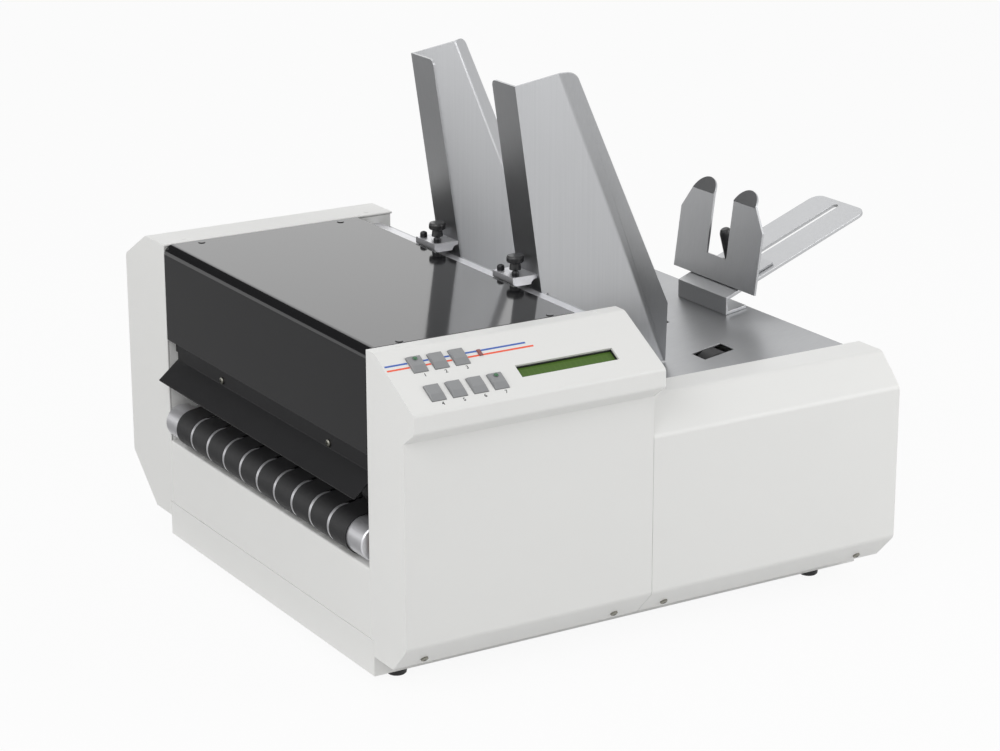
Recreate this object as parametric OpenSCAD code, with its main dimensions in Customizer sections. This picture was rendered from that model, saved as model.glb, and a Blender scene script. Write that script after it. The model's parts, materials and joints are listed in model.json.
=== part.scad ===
// Desktop envelope printer: a hopper with two sliding guides, a belt transport,
// a print carriage under a hinged cover, and an operator console.
// x runs from the exit end to the hopper end, y from the operator side to the back.

/* [Housing] */
// Clear width between the two side plates
inner_w = 360; // [330:5:400]
// Length of the housing along the feed
body_len = 470; // [455:5:500]
// Length of the raised print end
console_len = 224; // [216:1:232]
// Height of the raised print end above the bottom of the base pan
top_z = 264; // [256:1:274]
// Height of the low covers at the hopper end
ledge_z = 196.5; // [190:0.5:202]
// Height of the base pan's walls
pan_h = 30; // [24:1:36]
// Height of the covers' bottom edge
cover_z = 17; // [14:1:20]
// Sheet thickness of the covers and panels
sheet = 2; // [1.5:0.1:2.5]
// Thickness of the side plates
plate_t = 3; // [2.5:0.5:4]

/* [Front covers] */
// How far the front face stands out from the side plate
face_depth = 56; // [50:1:62]
// How far the console's nose stands out from the side plate
nose_depth = 71.5; // [66:0.5:78]
// Height of the console's nose band, lower edge
nose_low_z = 216; // [212:1:220]
// Height of the console's nose band, upper edge
nose_high_z = 231; // [226:1:235]
// Height where the nose runs back into the front face
nose_root_z = 205; // [200:1:208]
// Width of the flat strip along the top of the console
top_strip = 13; // [9:1:17]
// Width of the flat ledge on the low front cover
ledge_w = 30.5; // [26:0.5:36]
// Height where the ledge's sloping band meets the front face
band_z = 171; // [165:1:177]
// Depth of the covers' bottom, before the chamfer
foot_depth = 35; // [30:1:40]
// Height of the top of the bottom chamfer at the front
chamfer_z = 39; // [34:1:44]

/* [Rear covers] */
// How far the rear face stands out from the side plate
rear_depth = 80.6; // [74:0.2:88]
// Width of the flat top of the rear cover
rear_top_w = 38; // [32:1:44]
// Height where the rear top slope meets the rear face
rear_high_z = 239; // [232:1:246]
// Height where the rear face meets the bottom slope
rear_low_z = 57; // [50:1:64]

/* [Console] */
// Width of a key
key_w = 12.4; // [11:0.2:14]
// Length of a key down the slope
key_l = 16; // [14:0.5:17]
// Spacing of the keys in a row
key_pitch = 18.2; // [17.4:0.2:19]
// How far a key stands proud of the panel
key_proud = 2.2; // [1.6:0.2:3]
// Travel of a key
key_travel = 1.5; // [1:0.1:1.8]
// Middle of the first key from the exit end
key_x0 = 27.6; // [26:0.2:30]
// Distance of the upper key row down the slope
key_row_1 = 18; // [16:0.5:20]
// Distance of the lower key row down the slope
key_row_2 = 48.4; // [46:0.4:50]
// Width of the display opening
lcd_w = 87.6; // [80:0.4:92]
// Height of the display opening
lcd_h = 12.8; // [11:0.2:15]
// Middle of the display opening from the exit end
lcd_x = 147.5; // [145:0.5:150]
// Distance of the display's middle down the slope
lcd_s = 42.4; // [40:0.4:45]

/* [Paper path] */
// Slope of the feed deck in degrees
deck_tilt = 8.5; // [7:0.5:10]
// Thickness of the feed deck
deck_t = 2; // [1.5:0.1:2.5]
// Radius of the two belt rollers
roller_r = 15.2; // [13:0.1:16]
// Thickness of the transport belts
belt_t = 0.8; // [0.6:0.1:1.2]
// Number of transport belts
belt_count = 10; // [8:1:11]
// Width of one transport belt
belt_w = 27; // [26:0.2:29]
// Spacing of the transport belts
belt_pitch = 31; // [29.5:0.5:32]
// Distance of the exit roller's axis from the exit end
exit_x = 10; // [10:0.5:13]
// How far the belts lie below the deck's plane at the exit
exit_drop = 2; // [1:0.5:4]
// Distance of the infeed roller's axis from the end of the print end
infeed_back = 56; // [52:1:62]
// Radius of the hold-down wheels
wheel_r = 9; // [8:0.5:10]
// Distance of the hold-down wheels behind the exit roller
hold_back = 17; // [14:0.5:20]
// Radius of the feed rollers
feed_r = 15; // [13:0.5:16]
// Width of a feed roller
feed_w = 18; // [15:1:22]
// Spacing of the feed rollers across the deck
feed_pitch = 96; // [90:2:100]
// How far the feed rollers stand out of the deck
feed_proud = 0.8; // [0.6:0.1:1.2]
// Distance of the rear feed shaft from the hopper end
feed_rear_back = 88; // [80:1:94]
// Radius of the shafts where they run in bushes
shaft_r = 4; // [3:0.5:5]

/* [Cover and hood] */
// Thickness of the top cover
cover_t = 3; // [2.4:0.2:4]
// Outer radius of the top cover's front edge
cover_r = 9; // [6:0.5:12]
// Height of the top cover's lower front edge
cover_low_z = 180; // [174:1:186]
// Distance of the hinge axis from the cover's rear edge
hinge_in = 11; // [10:0.5:13]
// Depth of the hinge axis below the top
hinge_drop = 9; // [8:0.5:10]
// Radius of the hinge pins
pin_r = 2.5; // [2:0.25:3]
// Thickness of the exit hood
hood_t = 1.5; // [1:0.1:2]
// How far the hood's upright lies behind the exit end
hood_x = 8; // [7:0.5:10]
// Height of the bend of the hood
hood_bend_z = 162; // [158:1:166]
// Height of the hood's lip
hood_lip_z = 146; // [142:1:149]
// How far the hood's lip reaches past the exit end
hood_out = 11; // [9:0.5:13]

/* [Hopper guides] */
// Thickness of the guide sheet
guide_t = 2; // [1.5:0.1:2.5]
// Width of the guides' front flange
flange_w = 36; // [32:1:40]
// Clear width between the two guides
guide_gap = 163; // [151:2:171]
// Height of the guides above the deck, along their lean
guide_rise = 271.6; // [250:0.4:290]
// Width of the flat guide plate at its top
guide_top_w = 42; // [36:1:50]
// Width of the flat guide plate at its foot
guide_foot_w = 98; // [90:1:106]
// Width of the flared strip behind the plate
flare_w = 20; // [16:1:24]
// Outward turn of the flared strip in degrees
flare_turn = 30; // [20:1:35]
// Depth of the cross rail along the feed
rail_d = 12; // [10:0.5:13]
// Height of the cross rail
rail_h = 11.5; // [10:0.5:14]
// Distance of the cross rail's front face from the end of the print end
rail_back = 25; // [23:1:27]
// Thickness of the hopper front plate
hopper_t = 2.5; // [2:0.1:3]
// Height of the gap under the hopper front plate
throat = 7; // [5:0.5:10]
// Length of a clamp block across the machine
block_w = 32; // [28:1:34]
// Thickness of a clamp block
block_t = 7.4; // [6.6:0.2:8]
// Radius of a clamp knob's head
knob_r = 7.2; // [6:0.2:8]
// Height of a clamp knob's head and neck
knob_h = 12; // [10:1:15]

/* [Backstop] */
// Slope of the support arm in degrees
arm_tilt = 21; // [18:0.5:24]
// Width of the support arm
arm_w = 73; // [66:1:80]
// Thickness of the support arm
arm_t = 3; // [2.5:0.5:4]
// Length of the support arm along its slope
arm_len = 164; // [150:2:176]
// Height of the arm's lower end above the deck
arm_lift = 16; // [14:1:20]
// Width of the slot in the arm
slot_w = 7; // [6:0.5:8]
// Metal left between the slot and the arm's far end
slot_back = 5.5; // [4:0.5:12]
// Height of the backstop fork above the arm
fork_h = 88.6; // [78:0.2:98]
// Width across the backstop fork
fork_w = 122; // [112:2:130]
// Gap between the fork's prongs
fork_gap = 29.4; // [26:0.2:33]
// Backward lean of the fork in degrees
fork_lean = 7.5; // [5:0.5:10]

/* [Feet and fits] */
// Height of the rubber feet
foot_h = 8; // [6:1:12]
// Radius of the rubber feet
foot_r = 9; // [7:0.5:11]
// Gap between neighbouring fixed pieces
fit = 0.3; // [0.2:0.05:0.4]
// Radial clearance of a shaft in its bush
run = 0.05; // [0.03:0.01:0.09]

/* [Hidden] */
$fn = 64;

// Places along the feed
rail_x = console_len - rail_back;
rail_top = top_z - 8.5;
cover_end = rail_x - 12;
hinge_x = cover_end - hinge_in;
hinge_z = top_z - hinge_drop;
deck_end_x = body_len - 8;
deck_end_z = ledge_z - 4.5;
infeed_x = console_len - infeed_back;
deck_start_x = infeed_x + roller_r + 14;
feed_front_x = rail_x + 37;
feed_rear_x = body_len - feed_rear_back;
mid_y = inner_w / 2;

// Clear span of a value either side of a middle
function around(mid, half) = [mid - half, mid + half];

// Height of the deck's top face at a place along the feed
function deck_z(x) = deck_end_z + (x - deck_end_x) * tan(deck_tilt);
function feed_axis_z(x) = deck_z(x) - (feed_r - feed_proud) / cos(deck_tilt);

// Belt drive
belt_in_r = roller_r + fit;
belt_out_r = belt_in_r + belt_t;
infeed_z = deck_z(infeed_x) - (belt_out_r + 0.5) / cos(deck_tilt);
exit_z = deck_z(exit_x) - (belt_out_r + exit_drop) / cos(deck_tilt);
belt_run = norm([infeed_x - exit_x, infeed_z - exit_z]);
belt_tilt = atan2(infeed_z - exit_z, infeed_x - exit_x);
hold_x = exit_x + hold_back;
hold_z = exit_z + hold_back * tan(belt_tilt) + (belt_out_r + wheel_r + fit) / cos(belt_tilt);
wheel_w = 8;
wheel_bore = shaft_r + run;
roller_gap = 3;

// Bushes, pulleys and the drive behind the rear side plate
bush_r = 5.5;
bush_flange_r = 7.5;
bush_flange_t = 1.5;
pulley_r = 10;
pulley_w = 8;
pulley_rim = 2;
pulley_rim_t = 1;
pulley_step = pulley_w + 2;
pulley_y0 = inner_w + plate_t + 3;
motor_r = 28;
motor_len = 60;
motor_x = exit_x + 88;
motor_z = exit_z - 44;
motor_boss_r = 9.6;

// Print carriage
rod_r = 5;
rod_x = [62, 132];
rod_z = top_z - 86;
carriage_w = 64;
carriage_margin = 13;
carriage_h = 24;
pen_count = 4;
pen_pitch = 14;
pen_w = 11;
pen_len = 46;
pen_x = (rod_x[0] + rod_x[1]) / 2;
pen_top_z = rod_z + 40;
pen_gap = 2.5;
belt_top_z = exit_z + (pen_x + pen_len / 2 - exit_x) * tan(belt_tilt) + belt_out_r / cos(belt_tilt);
pen_nose_z = belt_top_z + pen_gap;

// Console slope
slope_drop = top_z - nose_high_z;
slope_run = nose_depth - top_strip;
slope_ang = atan2(slope_drop, slope_run);
lamp_x = 82.4;
lamp_s = 17;
lamp_size = [2.8, 4.4];
lamp_proud = 0.9;
lamp_depth = 8;
board_drop = 14;
board_t = 1.6;
board_x = [12, 204];
board_s = [7, 62];
key_flange = 1;
key_flange_t = 1.3;
key_stem = 1.4;
// Straight height of a key's sides, and its bevels at the sides and at the finger end
key_rise = 0.6;
key_edge = 0.8;
key_scoop = 5.5;

// A place [x, z] measured along the deck from its hopper end, and off its top face
function deck_place(x, z) = [
    (x - deck_end_x) * cos(deck_tilt) + (z - deck_end_z) * sin(deck_tilt),
    (z - deck_end_z) * cos(deck_tilt) - (x - deck_end_x) * sin(deck_tilt)
];

// Guides: the flange's front face stands behind the rail, square to the deck
flange_gap = 6;
guide_u = deck_place(rail_x + rail_d + flange_gap, rail_top - rail_h / 2)[0];
guide_clear = 1.5;
guide_kink = 91;
hopper_u = guide_t + 0.6;
hopper_top = deck_place(rail_x + rail_d + flange_gap, rail_top - 5.5)[1];
near_y = mid_y - guide_gap / 2;
far_y = mid_y + guide_gap / 2;
block_x = rail_x - 8;
block_z = top_z - 3.8;
jaw_t = 5;
jaw_z = rail_top - rail_h - fit - jaw_t;
clamp_screw_r = 1.5;
clamp_screw_x = rail_x - 2.8;
clamp_screw_in = 4.5;
knob_x = rail_x + 4;
stud_r = 2;
// Middle of the flange, where the clamp sits
near_mid = near_y + flange_w / 2;
far_mid = far_y - flange_w / 2;

// Backstop
arm_x = deck_end_x - 26;
arm_z = deck_z(arm_x) + arm_lift;
arm_foot = 22;
slot_start = 36;
slot_len = arm_len - slot_start - slot_w / 2 - slot_back;
fork_at = 15;
fork_foot = 44;
fork_t = 2;
fork_tip = 13;
back_knob_h = 37;
back_knob_at = fork_at + 25;

// Reach of the whole object, which places the origin under its middle
x_min = -hood_out;
x_max = arm_x + arm_len * cos(arm_tilt) + arm_t * sin(arm_tilt);
y_min = -nose_depth;
y_max = inner_w + rear_depth;

// Colours
white = [0.87, 0.87, 0.85];
gloss_black = [0.10, 0.10, 0.11];
matt_black = [0.13, 0.13, 0.14];
steel = [0.66, 0.66, 0.68];
alu = [0.78, 0.78, 0.80];
rubber = [0.12, 0.12, 0.12];
key_grey = [0.55, 0.56, 0.58];

// Outline tools: a clockwise outline moved inwards by t, corner by corner
function unit(v) = v / norm(v);
function inward(p, q) = unit([q[1] - p[1], p[0] - q[0]]);
function inset(pts, t) = [
    for (i = [0 : len(pts) - 1])
        let (
            n = len(pts),
            before = inward(pts[(i + n - 1) % n], pts[i]),
            after = inward(pts[i], pts[(i + 1) % n])
        )
        pts[i] + t * (before + after) / (1 + before * after)
];
// The outline with its inner edge pushed out through the open side
function opened(pts) = [for (p = pts) p[0] == 0 ? [-20, p[1]] : p];

// Cover outlines as [depth outwards, height], clockwise
console_outline = [
    [0, cover_z], [0, top_z], [top_strip, top_z], [nose_depth, nose_high_z],
    [nose_depth, nose_low_z], [face_depth, nose_root_z], [face_depth, chamfer_z], [foot_depth, cover_z]
];
ledge_outline = [
    [0, cover_z], [0, ledge_z], [ledge_w, ledge_z], [face_depth, band_z],
    [face_depth, chamfer_z], [foot_depth, cover_z]
];
rear_outline = [
    [0, cover_z], [0, top_z], [rear_top_w, top_z], [rear_depth, rear_high_z],
    [rear_depth, rear_low_z], [foot_depth, cover_z]
];
rear_ledge_outline = [
    [0, cover_z], [0, ledge_z], [rear_top_w, ledge_z], [rear_depth, band_z],
    [rear_depth, rear_low_z], [foot_depth, cover_z]
];

module place() translate([-(x_min + x_max) / 2, -(y_min + y_max) / 2, foot_h]) children();
module front_side() mirror([0, 1, 0]) children();
module rear_side() translate([0, inner_w, 0]) children();
// A profile in [y, z] carried along x
module along_x(x, len) translate([x, 0, 0]) rotate([90, 0, 90]) linear_extrude(len) children();
// A profile in [x, z] carried along y
module along_y(y, len) translate([0, y + len, 0]) rotate([90, 0, 0]) linear_extrude(len) children();
// A round bar along y
module bar_y(x, z, y, len, r) translate([x, y, z]) rotate([-90, 0, 0]) cylinder(h = len, r = r);
// A turned piece along y, from a profile in [radius, length]
module turned_y(x, z, y) translate([x, y, z]) rotate([-90, 0, 0]) rotate_extrude() children();
module box(x, y, z) translate([x[0], y[0], z[0]]) cube([x[1] - x[0], y[1] - y[0], z[1] - z[0]]);

// A hollow side cover with end walls, cut clear of the side plate and the pan
module side_cover(outline, x, len) {
    height = max([for (p = outline) p[1]]);
    end_cut = x > 0 ? [x - 1, x + len - sheet] : [x + sheet, x + len + 1];
    difference() {
        along_x(x, len) polygon(outline);
        along_x(x + sheet, len - 2 * sheet) polygon(inset(opened(outline), sheet));
        box(end_cut, [-1, plate_t + fit], [0, height - sheet]);
        box([x - 1, x + len + 1], [-1, plate_t + sheet + fit], [0, pan_h + fit]);
    }
}

// The sloping panel: x along the machine, -y down the slope, z out of the panel
module on_slope(x = 0, s = 0) {
    translate([0, -top_strip, top_z]) rotate([slope_ang, 0, 0]) translate([x, -s, 0]) children();
}

// Place of each key on the panel
key_spots = concat(
    [for (i = [0 : 2]) [key_x0 + i * key_pitch, key_row_1]],
    [for (i = [0 : 3]) [key_x0 + i * key_pitch, key_row_2]]
);

module base_pan() color(white) {
    y = [-plate_t - sheet, inner_w + plate_t + sheet];
    difference() {
        box([0, body_len], y, [0, pan_h]);
        box([sheet, body_len - sheet], [y[0] + sheet, y[1] - sheet], [sheet, pan_h + 1]);
    }
}

foot_in = 10;
foot_spots = [for (x = [28, body_len - 38], y = [foot_in, inner_w - foot_in]) [x, y]];
module feet() color(rubber) {
    for (p = foot_spots) translate([p[0], p[1], 0]) rotate([180, 0, 0]) rotate_extrude()
        difference() {
            polygon([[0, 0], [foot_r, 0], [foot_r - 1, foot_h - 1], [foot_r - 2, foot_h], [0, foot_h]]);
            translate([-1, foot_h - 2]) square([3, 3]);
        }
}

module panel_cut(x, s, w, h) on_slope(x, s) translate([-w / 2, -h / 2, -10]) cube([w, h, 20]);

module front_cover_left() color(white) {
    difference() {
        front_side() side_cover(console_outline, 0, console_len);
        for (k = key_spots) panel_cut(k[0], k[1], key_w + 2 * fit, key_l + 2 * fit);
        panel_cut(lcd_x, lcd_s, lcd_w, lcd_h);
        panel_cut(lamp_x, lamp_s, lamp_size[0] + 2 * run, lamp_size[1] + 2 * run);
    }
}
module front_cover_right() color(white) {
    front_side() side_cover(ledge_outline, console_len + fit, body_len - console_len - fit);
}
// The drive passes from one rear cover to the other through a window in both end walls
module drive_window() {
    z = feed_axis_z(feed_front_x);
    box(around(console_len, 3 * sheet), [inner_w + plate_t, pulley_y(3)], around(z, 24));
}
module rear_cover_left() color(white) {
    difference() {
        rear_side() side_cover(rear_outline, 0, console_len);
        drive_window();
    }
}
module rear_cover_right() color(white) {
    difference() {
        rear_side() side_cover(rear_ledge_outline, console_len + fit, body_len - console_len - fit);
        drive_window();
    }
}

// Every shaft that runs in a bush, as [x, z]
bush_spots = [
    [exit_x, exit_z], [infeed_x, infeed_z], [hold_x, hold_z],
    [feed_front_x, feed_axis_z(feed_front_x)], [feed_rear_x, feed_axis_z(feed_rear_x)]
];

module side_plate(y) {
    step_x = console_len - sheet - fit;
    ends = [sheet + fit, body_len - sheet - fit];
    tall = top_z - sheet - fit;
    low = ledge_z - sheet - fit;
    difference() {
        along_y(y, plate_t) polygon([
            [ends[0], sheet], [ends[1], sheet], [ends[1], low], [step_x, low], [step_x, tall], [ends[0], tall]
        ]);
        for (b = bush_spots) bar_y(b[0], b[1], y - 1, plate_t + 2, bush_r + run);
        for (x = rod_x) bar_y(x, rod_z, y - 1, plate_t + 2, rod_r + run);
        bar_y(hinge_x, hinge_z, y - 1, plate_t + 2, pin_r + run);
        if (y > 0) bar_y(motor_x, motor_z, y - 1, plate_t + 2, motor_boss_r + fit);
    }
}
module side_plate_front() color(white) side_plate(-plate_t);
module side_plate_rear() color(white) side_plate(inner_w);

exit_panel_gap = 1.6;
exit_panel_z = exit_z - belt_out_r - exit_panel_gap;
exit_panel_lip = 14;
module exit_end_panel() color(white) {
    along_y(fit, inner_w - 2 * fit)
        polygon([
            [0, pan_h + fit], [sheet, pan_h + fit], [sheet, exit_panel_z - sheet],
            [exit_panel_lip, exit_panel_z - sheet], [exit_panel_lip, exit_panel_z], [1, exit_panel_z],
            [0, exit_panel_z - 1]
        ]);
}

// Places in the hopper end panel, as [y, z, width, height]
inlet_spot = [inner_w - 60, 60, 28, 32];
switch_spot = [inner_w - 110, 60, 21, 15];
port_spot = [inner_w - 160, 60, 13, 12];
panel_bezel = 3;
module hopper_end_panel() color(white) {
    difference() {
        box([body_len - sheet, body_len], [fit, inner_w - fit], [pan_h + fit, deck_end_z - deck_t - 3]);
        for (s = [inlet_spot, switch_spot, port_spot])
            box([body_len - sheet - 1, body_len + 1], around(s[0], s[2] / 2), around(s[1], s[3] / 2));
    }
}

// The deck's own frame: x up the deck from its hopper end, z out of its top face
module on_deck() translate([deck_end_x, 0, deck_end_z]) rotate([0, -deck_tilt, 0]) children();
function deck_u(x) = (x - deck_end_x) / cos(deck_tilt);
function feed_u(x) = deck_place(x, feed_axis_z(x))[0];
feed_window = [30, feed_w + 2];
feed_rows = [for (i = [-1 : 1]) mid_y + i * feed_pitch];
deck_flange = 12;
module feed_deck() color(steel) {
    y = [fit, inner_w - fit];
    on_deck() difference() {
        union() {
            box([deck_u(deck_start_x), 0], y, [-deck_t, 0]);
            for (side = [[y[0], y[0] + deck_t], [y[1] - deck_t, y[1]]])
                box([deck_u(deck_start_x) + 8, -4], side, [-deck_flange, 0]);
            box([-deck_t, 0], y, [-deck_flange, 0]);
        }
        for (x = [feed_front_x, feed_rear_x]) {
            u = feed_u(x);
            for (yc = feed_rows)
                box(around(u, feed_window[0] / 2), around(yc, feed_window[1] / 2), [-2 * deck_t, deck_t]);
            // Notch of the side flanges round the shaft's bushes
            box(around(u, bush_flange_r + 1), [-1, inner_w + 1], [-2 * deck_flange, -deck_flange / 2]);
        }
    }
}

module cross_rail() color(alu) {
    box([rail_x, rail_x + rail_d], [fit, inner_w - fit], [rail_top - rail_h, rail_top]);
}

// A pulley's profile in [radius, length], with a rim on both sides
module pulley_profile(r, w) {
    square([r, w]);
    for (y = [0, w - pulley_rim_t]) translate([0, y]) square([r + pulley_rim, pulley_rim_t]);
}
function pulley_y(layer) = pulley_y0 + layer * pulley_step;

// A shaft from its front bush to a given rear end, with a body and pulleys
module shaft(x, z, end_y, layers = []) {
    front = -plate_t - 4;
    turned_y(x, z, 0) union() {
        translate([0, front]) square([shaft_r, end_y - front]);
        for (layer = layers) translate([0, pulley_y(layer)]) pulley_profile(pulley_r, pulley_w);
        children();
    }
}
module roller_body(r) {
    w = inner_w - 2 * roller_gap;
    translate([0, roller_gap]) polygon([[0, 0], [r - 1, 0], [r, 1], [r, w - 1], [r - 1, w], [0, w]]);
}

shaft_end = inner_w + plate_t + 2;
module exit_roller() color(alu) shaft(exit_x, exit_z, shaft_end) roller_body(roller_r);
module infeed_roller() color(alu) {
    shaft(infeed_x, infeed_z, pulley_y(1) + pulley_w, [0, 1]) roller_body(roller_r);
}
module hold_down_shaft() color(steel) shaft(hold_x, hold_z, shaft_end);

module roller_bushes() color([0.72, 0.55, 0.30]) {
    for (b = bush_spots) {
        translate([b[0], -plate_t, b[1]]) rotate([-90, 0, 0]) bush();
        translate([b[0], inner_w + plate_t, b[1]]) rotate([90, 0, 0]) bush();
    }
}
module bush() difference() {
    union() {
        cylinder(h = plate_t, r = bush_r);
        translate([0, 0, plate_t]) cylinder(h = bush_flange_t, r = bush_flange_r);
    }
    translate([0, 0, -1]) cylinder(h = plate_t + bush_flange_t + 2, r = shaft_r + run);
}

// A flat loop round two equal wheels in the plane of a profile
module stadium(run_len, r) {
    circle(r);
    translate([run_len, 0]) circle(r);
    translate([0, -r]) square([run_len, 2 * r]);
}
module loop(from, to, r, t, y, w) {
    span = to - from;
    translate([from[0], y + w, from[1]]) rotate([0, -atan2(span[1], span[0]), 0]) rotate([90, 0, 0])
        linear_extrude(w) difference() {
            stadium(norm(span), r + t);
            stadium(norm(span), r);
        }
}
belt_y0 = mid_y - ((belt_count - 1) * belt_pitch + belt_w) / 2;
module transport_belts() color(rubber) {
    for (i = [0 : belt_count - 1])
        loop([exit_x, exit_z], [infeed_x, infeed_z], belt_in_r, belt_t, belt_y0 + i * belt_pitch, belt_w);
}

// The plate that carries the upper run of the belts, bent down along both edges
module platen() color(steel) {
    top = belt_in_r - fit;
    reach = [roller_r + 4, belt_run - roller_r - 4];
    translate([exit_x, inner_w - fit, exit_z]) rotate([0, -belt_tilt, 0]) rotate([90, 0, 0])
        linear_extrude(inner_w - 2 * fit) difference() {
            polygon([[reach[0], top - 8], [reach[1], top - 8], [reach[1], top], [reach[0], top]]);
            polygon([
                [reach[0] + deck_t, top - 9], [reach[1] - deck_t, top - 9],
                [reach[1] - deck_t, top - deck_t], [reach[0] + deck_t, top - deck_t]
            ]);
        }
}

// A rubber wheel's profile in [radius, length], with broken edges
module tyre_profile(bore, r, w) {
    polygon([[bore, 0], [r - 1, 0], [r, 1], [r, w - 1], [r - 1, w], [bore, w]]);
}

// Wheels ride on the middle of every second belt
module hold_down_wheels() color(rubber) {
    for (i = [0 : 2 : belt_count - 1]) {
        y = belt_y0 + i * belt_pitch + (belt_w - wheel_w) / 2;
        turned_y(hold_x, hold_z, y) tyre_profile(wheel_bore, wheel_r, wheel_w);
    }
}

// Screw heads along the bottom chamfers
screw_r = 3.1;
screw_h = 2;
screw_up = 0.3;
chamfer_screw_x = [24, console_len - 26, console_len + 22, body_len - 28];
module pan_head(r, h) rotate_extrude() {
    polygon([[0, 0], [r, 0], [r, h * 0.45], [r * 0.8, h * 0.85], [r * 0.45, h], [0, h]]);
}
module chamfer_screws(depth, high) {
    slope = atan2(high - cover_z, depth - foot_depth);
    for (x = chamfer_screw_x)
        translate([x, foot_depth + screw_up * (depth - foot_depth), cover_z + screw_up * (high - cover_z)])
            rotate([slope - 180, 0, 0]) pan_head(screw_r, screw_h);
}
module panel_screws() color(steel) {
    front_side() chamfer_screws(face_depth, chamfer_z);
    rear_side() chamfer_screws(rear_depth, rear_low_z);
    for (y = hood_screw_y)
        translate([hood_x, y, hood_bend_z + 4]) rotate([0, -90, 0]) pan_head(screw_r, screw_h);
}

// Print carriage on its two rods
module print_rods() color(steel) {
    for (x = rod_x) bar_y(x, rod_z, -plate_t, inner_w + 2 * plate_t, rod_r);
}
carriage_ear = [30, 14];
pen_slant = 10;
pen_rows = [for (i = [0 : pen_count - 1]) mid_y + (i - (pen_count - 1) / 2) * pen_pitch];
module print_carriage() color(matt_black) {
    x = [rod_x[0] - carriage_margin, rod_x[1] + carriage_margin];
    z = [rod_z - carriage_h / 2, rod_z + carriage_h / 2];
    y = around(mid_y, carriage_w / 2);
    difference() {
        union() {
            along_y(y[0], carriage_w) polygon([
                [x[0], z[0] + 6], [x[0] + 6, z[0]], [x[1] - 6, z[0]], [x[1], z[0] + 6],
                [x[1], z[1] - 3], [x[1] - 3, z[1]], [x[0] + 3, z[1]], [x[0], z[1] - 3]
            ]);
            for (w = [[y[0], y[0] + 2], [y[1] - 2, y[1]]])
                box(around(pen_x, carriage_ear[0]), w, [z[1] - 1, z[1] + carriage_ear[1]]);
        }
        for (rx = rod_x) bar_y(rx, rod_z, y[0] - 1, carriage_w + 2, rod_r + run);
        for (yc = pen_rows)
            box(around(pen_x, pen_len / 2 + fit), around(yc, pen_w / 2 + fit), [z[0] - 1, z[1] + 1]);
    }
}
// A cartridge hangs in its pocket by a shoulder and ends in a narrow nose
module ink_cartridges() color(gloss_black) {
    seat = rod_z + carriage_h / 2 + fit;
    half = pen_len / 2;
    for (yc = pen_rows)
        along_y(yc - pen_w / 2, pen_w) polygon([
            [pen_x - half, seat], [pen_x - half - 4, seat],
            [pen_x - half - 4, seat + 3], [pen_x - half, seat + 3],
            [pen_x - half, pen_top_z - 4], [pen_x - half + 4, pen_top_z],
            [pen_x + half - pen_slant, pen_top_z],
            [pen_x + half, pen_top_z - 8], [pen_x + half, seat + 3], [pen_x + half + 4, seat + 3],
            [pen_x + half + 4, seat], [pen_x + half, seat], [pen_x + half, pen_nose_z + 18],
            [pen_x + 8, pen_nose_z + 12], [pen_x + 8, pen_nose_z], [pen_x - 12, pen_nose_z],
            [pen_x - 12, pen_nose_z + 12], [pen_x - half, pen_nose_z + 18]
        ]);
}

// Top cover: front face, rounded edge and top in one bent sheet, on two hinge ears
cover_gap = 1;
ear_t = 4;
ear_r = 6;
cover_return = 5;
module rounded_corner(x, z, r, len, drop) {
    translate([x + r, z - r]) circle(r);
    translate([x + r, z - drop]) square([len - r, drop]);
    translate([x, z - drop]) square([len, drop - r]);
}
module top_cover() color(gloss_black) {
    w = inner_w - 2 * cover_gap;
    drop = top_z - cover_low_z;
    difference() {
        union() {
            along_y(cover_gap, w) difference() {
                rounded_corner(0, top_z, cover_r, cover_end, drop);
                rounded_corner(cover_t, top_z - cover_t, cover_r - cover_t, cover_end + 10, drop + 10);
            }
            box([cover_t - 0.5, cover_return], [cover_gap, cover_gap + w], [cover_low_z, cover_low_z + 2]);
            for (y = [cover_gap, inner_w - cover_gap - ear_t]) {
                bar_y(hinge_x, hinge_z, y, ear_t, ear_r);
                box([hinge_x - ear_r, hinge_x + ear_r], [y, y + ear_t], [hinge_z, top_z - 1]);
            }
        }
        for (y = [cover_gap, inner_w - cover_gap - ear_t])
            bar_y(hinge_x, hinge_z, y - 1, ear_t + 2, pin_r + run);
    }
}
module cover_hinge_pins() color(steel) {
    len = plate_t + cover_gap + ear_t + 1;
    bar_y(hinge_x, hinge_z, -plate_t, len, pin_r);
    bar_y(hinge_x, hinge_z, inner_w + plate_t - len, len, pin_r);
}

// Exit hood: upright, bend and flared lip, fixed to the side plates by two tabs
hood_top_z = cover_low_z + 16;
hood_in = 4;
hood_tab = 24;
module exit_hood() color(matt_black) {
    dir = unit([-hood_out - hood_x, hood_lip_z - hood_bend_z]);
    off = hood_t * [-dir[1], dir[0]];
    along_y(hood_in, inner_w - 2 * hood_in) {
        translate([hood_x, hood_bend_z]) square([hood_t, hood_top_z - hood_bend_z]);
        polygon([
            [hood_x, hood_bend_z], [-hood_out, hood_lip_z], [-hood_out, hood_lip_z] + off,
            [hood_x + hood_t, hood_bend_z - 1], [hood_x + hood_t, hood_bend_z + 1]
        ]);
        translate([hood_x, hood_top_z - hood_t]) square([14, hood_t]);
    }
    for (y = [fit, inner_w - fit - hood_t])
        box([hood_x, hood_x + hood_tab], [y, y + hood_t], [hood_bend_z + 6, hood_top_z]);
    for (y = [fit, inner_w - fit - hood_in - 1])
        box([hood_x, hood_x + hood_t], [y, y + hood_in + 1], [hood_bend_z + 6, hood_top_z]);
}
hood_screw_y = [78, inner_w - 92];

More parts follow.
